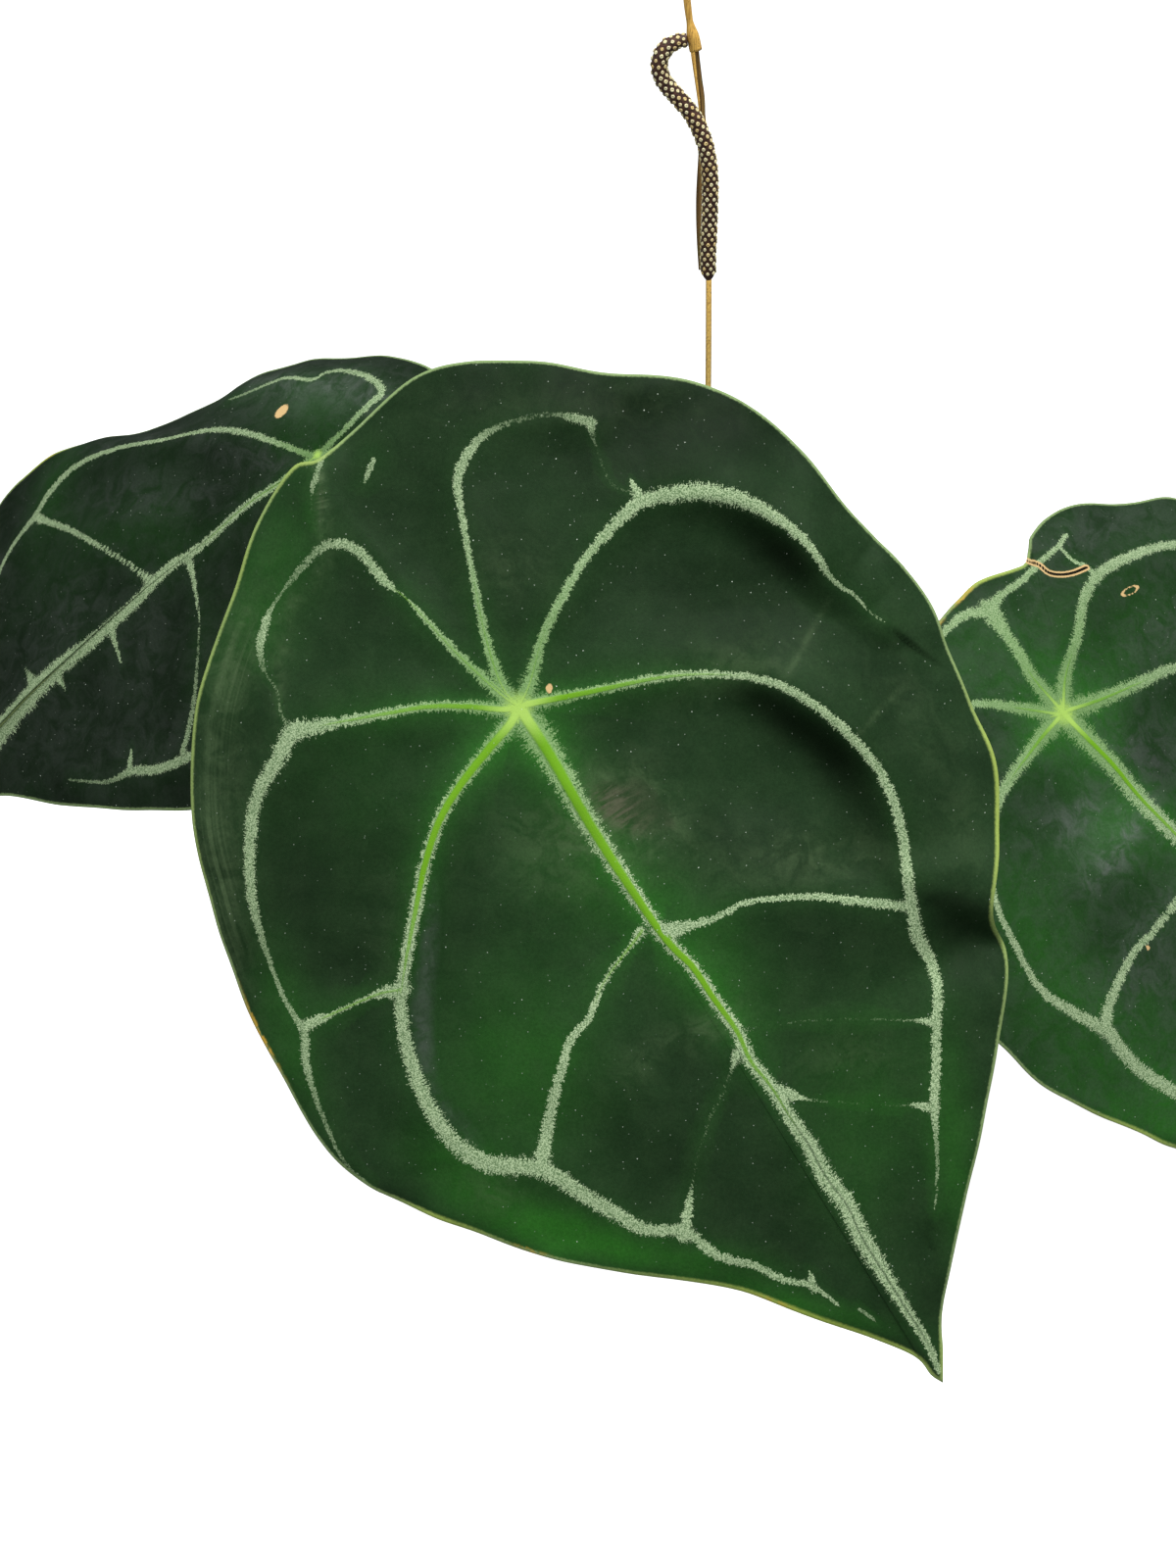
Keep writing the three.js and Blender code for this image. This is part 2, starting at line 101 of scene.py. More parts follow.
def vein(route, half, core=((0, 0),), silver=((0, 1),), seam=((0, 0),), crest=(((0, 0),), 6, 6)):
    """A vein: its route of [right, up] points, and [run, value] pairs along it.

    half is the half width of the silver band and core that of the lime cord in its middle; silver is how
    whole the band is, and seam how clear the dark line in it. crest is the height of the ridge that the
    vein lies on, with the ridge's reach to the left and to the right of the way that the vein runs.
    """
    return {"route": route, "half": half, "core": core, "silver": silver, "seam": seam, "crest": crest}


# Nearly the same places, outlines and swells as the solid model's. A margin point is [right, up, lift].
# A swell or a tint is an oval cloud: (right, up, reach, reach across, turn in degrees, strength). lush is a
# fresher green, and cast a painted sheen that is cool where it is negative and warm where it is strong; on
# the two smaller leaves its cool clouds are partly their own purple grey mottling. gold is the yellow of
# the margin, and shade is painted shade that darkens the blade, partly its own darker green, and a painted
# sheen that lightens it where it is negative. ground is what all of the blade has of lush, cast and shade.
# heart is how much smaller the bright heart is than the big leaf's, and a scar, ring or slit is a dry mark
# with a pale rim.
MAIN_VEINS = {
    "midrib": vein(
        [(0, 0), (7.5, -11.5), (17, -28), (26.5, -43), (37, -58), (42.5, -63.5), (47.5, -71), (53.5, -79.5),
         (57, -87), (61.5, -92.5), (66.5, -100.5), (71.5, -108), (75.5, -115.5), (81, -123), (84.5, -130.5),
         (94, -146), (102, -159), (105, -166)],
        [(0, 2.2), (8, 3.3), (31, 2.7), (45, 2.2), (60, 1.8), (80, 1.7), (120, 1.7), (140, 2.3), (158, 2.4),
         (180, 1.3), (197, 0.8)],
        core=[(0, 1.8), (40, 1.6), (58, 1.3), (90, 0.9), (115, 0.4), (130, 0)],
        seam=[(60, 0), (95, 1), (185, 1), (195, 0)], crest=([(0, 1.2)], 9, 9),
    ),
    "lower_loop": vein(
        [(-0.3, -0.8), (-1.8, -3.8), (-7, -10), (-14, -19), (-19, -27.5), (-22.5, -38), (-25, -50),
         (-28.5, -69.5), (-28.5, -76.5), (-27, -85), (-24, -94), (-20.5, -101), (-14.5, -108.5),
         (-7, -112.5), (2.5, -113), (7.5, -114.5), (14.5, -119), (22, -123.5), (31.5, -128.5), (41, -129),
         (48.5, -135), (58.5, -138), (65.5, -141.5), (72, -143), (79.5, -148.5)],
        [(0, 1.8), (38, 1.6), (70, 1.5), (88, 1.7), (128, 2.3), (158, 1.9), (180, 1.3), (200, 1),
         (212, 0.8), (221, 0.4)],
        core=[(0, 1.4), (40, 1.1), (68, 0.5), (80, 0)], crest=([(0, 1.8)], 9, 8),
    ),
    "lower_loop_spur": vein([(72, -139.5), (72.5, -142.5), (73, -145.5)], [(0, 0.4), (3, 1.1), (6, 0.3)]),
    "left_bridge": vein(
        [(-28.5, -69), (-33.5, -70), (-46, -75.5), (-52.5, -78.5)],
        [(0, 2.2), (5, 1.3), (9, 0.6), (19, 0.6), (23, 1.4), (26, 1.5)],
        core=[(0, 0.4), (20, 0.4), (24, 0)], crest=([(0, 1)], 6, 6),
    ),
    "lower_branch": vein(
        [(30, -55), (20.5, -68), (17, -76.5), (13, -81), (10.5, -88.5), (8, -98.5), (5.5, -112.5)],
        [(0, 1.4), (4, 0.7), (25, 0.9), (40, 1.2), (58, 1.6), (64, 2.2)],
        core=[(0, 0.5), (20, 0.2), (26, 0)], crest=([(0, 0.9)], 7, 7),
    ),
    "lower_thread": vein(
        [(53.5, -85), (50.5, -93.5), (47, -100.5), (44, -110.5), (40.5, -130)],
        [(0, 1.2), (4, 0.5), (34, 0.35), (38, 0.8), (43, 1.5), (48, 2.2)],
        silver=[(0, 1), (6, 0.35), (32, 0.3), (38, 1)], crest=([(0, 0.5)], 6, 6),
    ),
    "left_loop": vein(
        [(-0.8, -0.3), (-4, -0.6), (-12, 0), (-21.5, 0), (-31, -1.5), (-50.5, -5), (-56, -6.5),
         (-59.5, -13), (-63.5, -19), (-66, -26), (-67, -41), (-66, -49.5), (-64, -57), (-58.5, -71.5),
         (-53, -81), (-53, -87), (-49, -100.5), (-43, -113), (-38, -117.5)],
        [(0, 1.5), (20, 1.2), (44, 1.4), (54, 2.4), (70, 1.8), (96, 1.5), (108, 1), (118, 0.6), (128, 0.7),
         (140, 1.2), (150, 0.7), (174, 0.35)],
        core=[(0, 0.95), (30, 0.6), (44, 0.35), (52, 0)],
        silver=[(0, 1), (44, 0.9), (96, 0.85), (112, 0.6), (128, 0.65), (140, 0.85), (156, 0.5),
                (174, 0.45)],
        crest=([(0, 2)], 8, 10),
    ),
    "upper_left_loop": vein(
        [(-0.8, 0.6), (-3.5, 2.4), (-15.5, 13.5), (-27.5, 26.5), (-32.5, 30.5), (-38.5, 37.5), (-42.5, 40),
         (-47.5, 40), (-51, 37.5), (-58.5, 29), (-62, 24), (-64.5, 14), (-62.5, 8), (-60, 4.5), (-58.5, -2),
         (-57, -4)],
        [(0, 1.5), (20, 1.1), (34, 0.7), (37, 0.35), (41, 0.5), (43, 1.2), (58, 1.3), (70, 1), (76, 0.7),
         (78, 0.35), (84, 0.5), (86, 1.1), (91, 1.2), (99, 0.7), (101, 0.3), (111, 0.4)],
        core=[(0, 0.4), (25, 0.25), (40, 0.25), (42, 0)],
        silver=[(0, 1), (36, 0.85), (44, 0.85), (60, 0.75), (66, 0.5), (82, 0.45), (86, 0.85), (93, 0.8),
                (98, 0.4), (111, 0.4)],
        crest=([(0, 1.8)], 8, 8),
    ),
    "left_fold": vein(
        [(-43, 40), (-50, 43), (-51.5, 52), (-49, 62.5)],
        [(0, 0.3), (17, 0.3), (20, 0.7), (26, 0.8), (28, 0.6)], silver=[(0, 0.2), (16, 0.2), (20, 0.6)],
        crest=([(0, 1.4)], 4, 5),
    ),
    "upper_loop": vein(
        [(-1, 1), (-4, 5), (-8, 17), (-11, 31.5), (-14, 47.5), (-15, 53.5), (-14.5, 58.5), (-8.5, 67),
         (3.5, 71.5), (9.5, 72), (18, 70)],
        [(0, 1.5), (18, 1.2), (36, 0.8), (50, 0.9), (62, 1.4), (70, 1.1), (76, 0.7), (90, 0.6), (94, 1.3)],
        core=[(0, 0.35), (30, 0.2), (38, 0)],
        silver=[(0, 1), (30, 0.85), (66, 0.8), (74, 0.5), (80, 0.3), (88, 0.3), (93, 0.7)],
        crest=([(0, 1.2)], 7, 7),
    ),
    "upper_link": vein(
        [(17.5, 70), (18.5, 66), (23, 54.5), (29, 52)], [(0, 1), (3, 0.7), (6, 0.3), (22, 0.35)],
        silver=[(0, 0.9), (4, 0.3), (22, 0.3)], crest=([(0, 0.4)], 6, 6),
    ),
    "upper_right_loop": vein(
        [(0.6, 1), (2.5, 5), (6, 17), (12, 29), (17, 37), (26.5, 47.5), (30.5, 50.5), (43.5, 52.5),
         (57, 49.5), (69, 41.5), (77.5, 30.5), (82.5, 27.5), (86.5, 23.5), (90, 21)],
        [(0, 1.7), (14, 1.3), (40, 1.1), (58, 1.7), (72, 2.2), (84, 2), (96, 1.4), (108, 1), (116, 0.6),
         (126, 0.3)],
        core=[(0, 0.35), (34, 0)], silver=[(0, 1), (104, 1), (112, 0.7), (126, 0.6)],
        crest=([(0, 1.4), (62, 2), (80, 6), (108, 6.2), (126, 2.6)], 14, 5.6),
    ),
    "upper_right_spur": vein([(27.5, 56), (29.5, 51)], [(0, 0.3), (5, 1.6)]),
    "right_loop": vein(
        [(0.8, 0.3), (4, 1), (12, 2.5), (19.5, 4), (34, 7), (47, 8), (61.5, 6), (72.5, 0), (78.5, -5),
         (88.5, -16.5), (93.5, -29.5), (95.5, -44), (98.5, -56.5), (102, -63), (103.5, -69), (103, -77),
         (103, -87), (102.5, -99), (103.5, -112.5), (103, -125)],
        [(0, 1.6), (17, 1.3), (36, 1.1), (54, 0.9), (70, 1.2), (90, 1.3), (118, 1.3), (128, 1.4),
         (138, 1.9), (152, 1.3), (169, 1.2), (178, 1.3), (190, 0.6), (206, 0.3)],
        core=[(0, 1.1), (20, 0.8), (40, 0.4), (56, 0.1), (60, 0)],
        silver=[(0, 1), (184, 1), (192, 0.6), (206, 0.5)],
        crest=([(0, 1.4), (46, 1.8), (60, 5.4), (84, 6.6), (112, 4), (140, 1.8)], 14, 5.6),
    ),
    "right_spur_high": vein([(97.5, -77.2), (103, -77.5)], [(0, 0.3), (5.5, 1.4)]),
    "right_spur_low": vein([(96.5, -97.8), (102.5, -99)], [(0, 0.3), (6, 1.5)]),
    "right_branch": vein(
        [(36, -55), (48.5, -51.5), (55.5, -48), (72.5, -46.5), (82, -47.5), (96, -49)],
        [(0, 2.4), (6, 1.3), (12, 0.8), (25, 0.7), (40, 0.9), (61, 1.3)], crest=([(0, 1.6)], 8, 8),
    ),
    "midrib_spur": vein([(64, -94.5), (70.5, -96.2)], [(0, 2.2), (6.5, 0.4)]),
    "right_thread_high": vein(
        [(55.5, -79), (72.5, -77), (89.5, -77), (99.5, -77.5)], [(0, 0.3), (44, 0.3)],
        silver=[(0, 0.25), (30, 0.3), (44, 0.5)], crest=([(0, 0.5)], 6, 6),
    ),
    "right_thread_low": vein(
        [(69, -96), (75, -97), (97, -98.5)], [(0, 0.4), (8, 0.3), (28, 0.3)],
        silver=[(0, 0.6), (8, 0.3), (28, 0.35)], crest=([(0, 0.4)], 6, 6),
    ),
    "upper_fleck": vein(
        [(-38.5, 56), (-36, 62)], [(0, 0.4), (4, 0.8), (6.5, 0.5)], silver=[(0, 0.6), (6.5, 0.7)],
    ),
    "tip_fleck": vein([(84, -149), (88.5, -152.5)], [(0, 0.4), (5.5, 0.4)], silver=[(0, 0.6), (5.5, 0.6)]),
}
MAIN_LEAF = {
    "attach": (-51, -143, 254),
    "face": (0, -0.788, 0.6157),
    "margin": [
        (106, -169, -12), (106, -161, -12), (106, -150, -11), (110, -127, -9), (116, -100, -8),
        (121, -73, -9), (122, -61, -11), (117, -50, -3), (119, -33, -6), (119, -14, -9), (113, 1, -10),
        (107, 15, -10), (100, 30, -9), (82, 49, -8), (70, 64, -8), (59, 74, -8), (43, 81, -6), (22, 83, -5),
        (4, 86, -6), (-13, 86, -7), (-27, 82, -8), (-42, 69, -9), (-50, 62, -9), (-57, 60, -10),
        (-66, 47, -12), (-72, 30, -14), (-79, 12, -15), (-83, -5, -16), (-83, -29, -16), (-78, -49, -15),
        (-69, -74, -12), (-60, -90, -10), (-50, -107, -9), (-37, -119, -8), (-12, -130, -7), (10, -137, -6),
        (34, -141, -6), (56, -145, -7), (76, -153, -9), (97, -161, -11), (103, -167, -12), (106, -169, -12),
    ],
    "swells": [
        (55, -16, 22, 17, -35, -4), (48, 27, 22, 15, -30, -3), (109, -59, 13, 8, 35, -5),
        (103, -42, 14, 7, 10, 2.5), (-35, -45, 24, 40, 0, 3), (30, -95, 34, 20, -40, 3),
    ],
    "veins": MAIN_VEINS,
    # Along the lower margin the lush clouds are partly painted light: the glow of light through the thin
    # blade.
    "lush": [
        (0, -87, 20, 22, 0, 0.45), (-15, -114, 14, 8, -30, 0.5), (1, -127, 16, 7, -10, 0.7),
        (17, -132, 14, 6, -10, 0.8), (42, -137, 16, 5, -8, 0.6), (70, -149, 20, 4, -16, 0.7),
        (85, -100, 14, 26, 0, 0.3), (-58, -80, 8, 18, 10, 0.4), (0, -6, 16, 12, 0, 0.4),
        (15, -40, 16, 20, 30, 0.25), (-65, 30, 12, 26, -20, 0.35), (108, -110, 6, 26, 5, 0.5),
        (45, -60, 12, 24, 40, 0.4), (-40, -20, 16, 20, 0, 0.15),
    ],
    # Painted sheen: grey green, and warm where strongest by the midrib, along the left margin, across the
    # middle and on the right.
    "cast": [
        (29, -25, 12, 8, -45, 0.85), (34, -24, 9, 2.2, -52, 0.5), (21, -22, 6, 4, -40, 0.35),
        (71, 17, 12, 0.8, 60, 0.5), (88, -1.5, 9, 0.8, 45, 0.45), (-22, -62, 2.4, 18, -4, -0.7),
        (-2, 34, 10, 8, 0, 0.25), (71, -37, 20, 7, 5, 0.4), (47, -78, 9, 4, 28, 0.55),
        (30, -87, 10, 4, 36, 0.35), (82, -86, 12, 5, 10, 0.3), (12, -32, 14, 12, 0, 0.6),
        (-23, -84, 2.4, 14, 8, -0.6), (-15, -102, 2.4, 9, 42, -0.6), (-6, -120, 7, 6, 0, 0.35),
        (-59, 9, 2, 12, -8, 0.5), (-54, 28, 2, 12, -38, 0.4), (-49, 52, 2, 11, 5, 0.7),
        (-74, -18, 8, 36, 2, 0.32), (-75, -48, 6, 34, 10, 0.32), (-70, 14, 6, 18, -14, 0.4),
        (48, 8, 14, 6, 10, 0.2), (100, -5, 5, 20, 20, 0.15), (110, -30, 5, 18, 5, 0.15),
        (-30, -50, 10, 16, 0, 0.12), (60, 12, 12, 6, 0, 0.2), (20, 75, 40, 6, 0, 0.2),
    ],
    "scars": [(7.5, 4.5, 0.9, 1.3, 0)],
    "burns": [
        (-64, -81, 5, 9, 30, 1), (3, -134, 4, 2, 0, 0.7), (62, -147.5, 6, 2, 0, 0.6),
        (106, -112, 1, 1, 0, 1), (108, -92, 1, 1, 0, 0.7),
    ],
    "gold": [
        (119, -20, 8, 45, 0, 0.6), (70, -152, 40, 8, -18, 0.8), (-55, 60, 10, 10, 0, 0.4),
        (-80, -10, 6, 40, 0, 0.35), (-70, 35, 8, 20, 0, 0.35), (-20, -127, 20, 6, 0, 0.6),
    ],
    # Painted shade, partly the blade's own darker green: it deepens the walls below the ridges of the upper
    # right and right loops, the fold by the right margin, a band along the top and the left half.
    "shade": [
        (30, 74, 70, 16, -8, 0.45), (66, 36, 16, 10, -35, 0.3), (66, -4, 18, 8, -32, 0.35),
        (66, -3, 14, 5, -38, 0.35), (80, -18, 6, 14, 25, 0.3), (64, 38, 12, 5, -38, 0.35),
        (84, -22, 8, 18, 20, 0.25), (-20, 50, 40, 24, 0, 0.25), (108, -60, 8, 10, 0, 0.3),
        (-48, -34, 26, 40, 0, 0.25), (40, 30, 40, 20, 0, 0.15),
    ],
    "ground": (0.06, 0.08, 0),
    "heart": 1,
}

LEFT_VEINS = {
    "midrib": vein(
        [(0, 0), (-13.5, -24.5), (-22.5, -41.5), (-27, -47.5), (-33.5, -63.5), (-43, -80.5), (-49.5, -89.5),
         (-57, -104), (-66, -122), (-76, -142), (-90, -164)],
        [(0, 1.2), (45, 1.5), (90, 2), (110, 2.7), (140, 3), (165, 2), (188, 0.9)],
        core=[(0, 0.4), (40, 0.25), (50, 0)], crest=([(0, 1.6)], 9, 9),
    ),
    "midrib_spur_high": vein([(-66, -97), (-57, -99)], [(0, 0.3), (9, 1.8)]),
    "midrib_spur_mid": vein([(-45.5, -96), (-50.5, -93)], [(0, 0.3), (6, 1.6)]),
    "midrib_spur_low": vein([(-38.5, -72), (-29.5, -80)], [(0, 1.8), (5, 0.9), (12, 0.4)]),
    "lower_branch": vein(
        [(-23.5, -43.5), (-15, -50), (-5.5, -59), (3, -74), (7, -93)],
        [(0, 1.4), (12, 0.7), (26, 0.35), (56, 0.9)], silver=[(0, 1), (22, 0.8), (30, 0.4), (56, 0.8)],
        crest=([(0, 1)], 7, 7),
    ),
    "upper_loop": vein(
        [(-0.5, -1), (-19.5, -2.5), (-39.5, -6), (-49, -10.5), (-57.5, -16.5), (-76.5, -25.5), (-89.5, -36),
         (-94, -46.5), (-94.5, -55), (-99.5, -68.5), (-99, -84), (-96, -104), (-93, -126), (-92, -142)],
        [(0, 0.9), (30, 1.1), (60, 0.8), (90, 1.1), (110, 1.5), (130, 1), (190, 0.5)],
        crest=([(0, 2)], 8, 9),
    ),
    "upper_branch": vein(
        [(-30.5, -55), (-46.5, -53.5), (-58, -53.5), (-73.5, -53.5), (-94, -55.5)],
        [(0, 1.6), (8, 0.9), (40, 0.9), (58, 1.1), (64, 2)], crest=([(0, 1.2)], 8, 8),
    ),
    "far_loop": vein(
        [(1, 2), (5, 13), (7.5, 24.5), (4.5, 26), (-1.5, 27), (-13.5, 25.5), (-17.5, 23), (-18.5, 20),
         (-30, 17), (-38, 11), (-47.5, 4)],
        [(0, 0.9), (22, 1.2), (34, 1), (46, 0.8), (60, 0.7), (76, 0.6), (88, 0.4)],
        silver=[(0, 0.8), (60, 0.7), (88, 0.5)], crest=([(0, 1.4)], 7, 7),
    ),
    "near_loop": vein(
        [(2, -1), (20, -4), (31, -18), (33, -40), (27, -64), (17, -83), (8, -94.5), (0.5, -101),
         (-9.5, -106), (-16, -112), (-30, -118)],
        [(0, 1.2), (40, 1.3), (90, 1.1), (120, 1.3), (136, 1.4), (150, 0.6), (162, 0.4)],
        core=[(0, 0.6), (30, 0)], silver=[(0, 1), (138, 1), (148, 0.6), (162, 0.5)],
        crest=([(0, 1.6)], 8, 8),
    ),
    "near_loop_spur": vein([(-9.5, -106), (-12.5, -99.5)], [(0, 1.4), (7, 0.3)]),
    "right_lobe": vein(
        [(2, 1), (14, 8), (26, 14), (36, 8), (42, -10)], [(0, 1.1), (30, 1), (58, 0.4)],
        crest=([(0, 1)], 7, 7),
    ),
}
LEFT_LEAF = {
    "attach": (-111, -34, 264),
    "face": (-0.45, -0.5, 0.74),
    "margin": [
        (-93, -169, -22), (-81, -149, -18), (-58, -135, -15), (-31, -126, -13), (-6, -116, -12),
        (14, -106, -12), (31, -93, -12), (44, -75, -12), (52, -50, -12), (54, -24, -11), (50, 0, -11),
        (41, 19, -10), (27, 33, -10), (12, 38, -10), (-6, 37, -12), (-20, 32, -12), (-34, 26, -12),
        (-47, 18, -12), (-59, 3, -12), (-78, -15, -12), (-92, -23, -12), (-107, -32, -12), (-116, -43, -12),
        (-120, -59, -12), (-118, -81, -14), (-107, -118, -16), (-98, -149, -20), (-93, -169, -22),
    ],
    "swells": [(-58, -50, 30, 18, 60, 4), (5, -62, 30, 20, 60, 3)],
    "veins": LEFT_VEINS,
    "lush": [
        (-40, -40, 20, 14, 0, 0.25), (-70, -60, 20, 20, 0, 0.2), (0, 0, 16, 12, 0, 0.4),
        (-98, -40, 10, 20, 20, 0.5),
    ],
    # Cool painted sheen, and the leaf's own purple grey mottling.
    "cast": [
        (-58, -36, 18, 7, 20, -0.5), (-60, -80, 20, 12, 60, -0.5), (-22, -75, 12, 18, 10, -0.3),
        (-20, -9, 26, 4, 5, -0.6), (-70, -20, 26, 3, 28, -0.5), (-30, 16, 26, 4, 12, -0.5),
        (4, 24, 20, 6, 0, -0.4), (-34, -28, 16, 5, 30, -0.4), (-40, -108, 20, 12, 30, -0.25),
        (-100, -90, 8, 30, 10, -0.35), (-4, -96, 20, 8, 40, -0.25), (-80, -120, 18, 14, 0, -0.3),
    ],
    "scars": [(-21.5, 7, 1.9, 2.6, 0)],
    "burns": [(-112, -36, 4, 4, 0, 0.5)],
    "gold": [(-112, -40, 12, 10, 0, 0.8)],
    # Painted shade: the ground darkens the whole leaf by half, and this cloud lightens the strip along its
    # top as painted sheen.
    "shade": [(-14, 16, 40, 9, 15, -0.9)],
    "ground": (0.02, -0.25, 0.5),
    "heart": 2.2,
}

RIGHT_VEINS = {
    "midrib": vein(
        [(0, 0), (6.5, -14.5), (13.5, -32), (21.5, -48), (36, -78), (54, -115), (68, -147), (82, -178)],
        [(0, 3.2), (20, 3.4), (52, 2.8), (110, 2.2), (160, 2.6), (194, 0.9)],
        core=[(0, 1.2), (40, 0.8), (90, 0.4), (120, 0)], crest=([(0, 1.4)], 9, 9),
    ),
    "lower_loop": vein(
        [(-2, -0.5), (-12, -4.5), (-26, -11), (-36, -18), (-44, -31), (-47.5, -45), (-46, -57), (-42, -73),
         (-35, -82), (-25.5, -92.5), (-23, -99), (-18, -107.5), (-9, -118), (6, -130), (26, -141),
         (46, -153), (62, -163)],
        [(0, 2.6), (30, 1.8), (60, 0.9), (90, 1), (120, 2), (150, 2), (200, 1.4), (228, 0.5)],
        core=[(0, 0.9), (20, 0.5), (34, 0)], crest=([(0, 2)], 9, 8),
    ),
    "lower_branch": vein(
        [(-26.5, -91), (-23.5, -85.5), (-7.5, -73), (-1, -71), (13.5, -64.5), (26, -58)],
        [(0, 2.4), (6, 1.8), (30, 1.2), (62, 1.6)], crest=([(0, 1.2)], 7, 7),
    ),
    "left_loop": vein(
        [(-2, 0.5), (-14, 6), (-28, 12), (-42, 12), (-54, 4), (-62, -10), (-65, -30), (-60, -52)],
        [(0, 2.4), (16, 1.8), (30, 1.2), (60, 1.3), (110, 0.5)], core=[(0, 0.7), (14, 0.3), (20, 0)],
        crest=([(0, 1.6)], 8, 8),
    ),
    "upper_left": vein(
        [(-0.5, 1.5), (-6, 14.5), (-6.5, 20.5), (-8, 31.5), (-8, 38.5)],
        [(0, 2.6), (14, 2.2), (28, 2), (34, 3), (38, 2.6)], core=[(0, 0.8), (14, 0.3), (20, 0)],
        crest=([(0, 1.2)], 7, 7),
    ),
    "upper_left_fork": vein(
        [(-7.5, 36.5), (-15, 38.5), (-24.5, 36), (-38, 28)], [(0, 2.2), (8, 1.6), (18, 1), (34, 0.4)],
        crest=([(0, 1)], 6, 6),
    ),
    "upper_right_fork": vein(
        [(-7.5, 37.5), (-3.5, 40), (8.5, 43), (17, 46.5), (24.5, 49), (29, 51.5)],
        [(0, 2), (8, 1.2), (24, 1), (39, 0.8)], crest=([(0, 1)], 6, 6),
    ),
    "tear_vein": vein([(24.5, 48.5), (27, 42.5), (29.5, 40), (30.5, 37)], [(0, 0.6), (14, 0.9)]),
    "upper_loop": vein(
        [(0.5, 1.5), (5.5, 10.5), (14.5, 21), (23.5, 31), (31.5, 36), (51.5, 38.5), (68, 36.5), (82, 26),
         (91, 8), (94, -16), (92, -44), (88, -64)],
        [(0, 2.6), (20, 1.8), (48, 1.8), (80, 1.5), (120, 1.5), (170, 1), (200, 0.4)],
        core=[(0, 0.8), (14, 0.3), (22, 0)], crest=([(0, 2)], 9, 7),
    ),
    "right_loop": vein(
        [(2, 0.5), (14, 0), (31, 0.5), (47.5, 0.5), (62, -6), (73, -20), (80, -42), (83, -70), (82, -98),
         (79, -124), (78, -140)],
        [(0, 2.6), (20, 2.2), (46, 1.6), (90, 1.5), (150, 1.2), (200, 0.4)],
        core=[(0, 0.8), (24, 0.4), (36, 0)], crest=([(0, 2.2)], 10, 8),
    ),
    "right_branch": vein(
        [(28, -62), (44, -66), (62, -64), (82, -66)], [(0, 1.6), (10, 0.8), (55, 1)],
        crest=([(0, 1.2)], 7, 7),
    ),
}
RIGHT_LEAF = {
    "attach": (109, -55, 188),
    "face": (0.35, -0.6, 0.72),
    "margin": [
        (84, -182, -16), (90, -160, -14), (97, -130, -12), (104, -90, -10), (108, -50, -9), (107, -15, -9),
        (102, 15, -8), (92, 38, -8), (79, 52, -8), (62, 55, -8), (40, 60, -8), (28, 59, -7.5),
        (18, 55, -6.5), (15.5, 51.5, -6), (12, 47.5, -4.9), (7, 47, -5.4), (-6, 47, -6.5), (-14, 44, -8),
        (-23, 40, -8), (-42, 30, -8), (-59, 12, -8), (-70, -10, -9), (-74, -34, -9), (-70, -60, -10),
        (-58, -82, -10), (-47, -102, -10), (-25, -123, -10), (-14, -133, -10), (10, -147, -11),
        (38, -159, -12), (62, -170, -14), (76, -178, -15), (84, -182, -16),
    ],
    "swells": [(48, -18, 26, 18, -25, -3), (-30, -45, 22, 30, 0, 3)],
    "veins": RIGHT_VEINS,
    "lush": [
        (0, 0, 18, 16, 0, 0.9), (20, -44, 20, 30, 30, 0.4), (-40, -60, 18, 30, 0, 0.5),
        (-20, -100, 30, 20, -30, 0.5), (30, 20, 30, 16, 0, 0.35), (-20, 25, 24, 14, 0, 0.3),
        (60, -100, 30, 50, 0, 0.3), (0, -130, 40, 10, -25, 0.8),
    ],
    # Cool painted sheen with whitish wisps, and purple grey mottling of the leaf's own.
    "cast": [
        (-12, -30, 14, 5, 10, -0.7), (6, -40, 14, 3, 24, -0.9), (-8, -48, 12, 4, 10, -0.7),
        (26, -22, 16, 8, -30, -0.7), (50, 14, 20, 8, 0, -0.3), (40, 50, 20, 5, 0, -0.3),
        (-10, -80, 14, 10, 20, -0.3), (20, -90, 20, 12, 0, -0.4), (4, -66, 12, 5, 20, -0.4),
    ],
    "scars": [(-3, -74, 0.8, 1, 0)],
    "ring": (41.3, 28.2, 3.5, 1.1, 5),
    "slit": [(12.5, 48.5), (15.2, 45.3), (16.5, 42.4), (19.9, 40.3), (24.2, 39.4), (29.5, 39.6)],
    "burns": [(-10, 43, 12, 3, -20, 0.9), (-26, 37, 8, 3, -25, 0.8)],
    "gold": [(-20, -125, 40, 10, -25, 0.5), (-2, 46, 20, 4, 0, 0.6)],
    # Painted shade darkens the top of the leaf, and the first cloud lightens the sheen wisps as painted
    # sheen.
    "shade": [(-4, -38, 18, 10, 10, -0.9), (26, -24, 12, 12, -30, 0.3), (30, 25, 20, 12, 0, 0.25)],
    "ground": (0.12, -0.3, 0.1),
    "heart": 0.9,
}

LEAVES = {"main": MAIN_LEAF, "left": LEFT_LEAF, "right": RIGHT_LEAF}

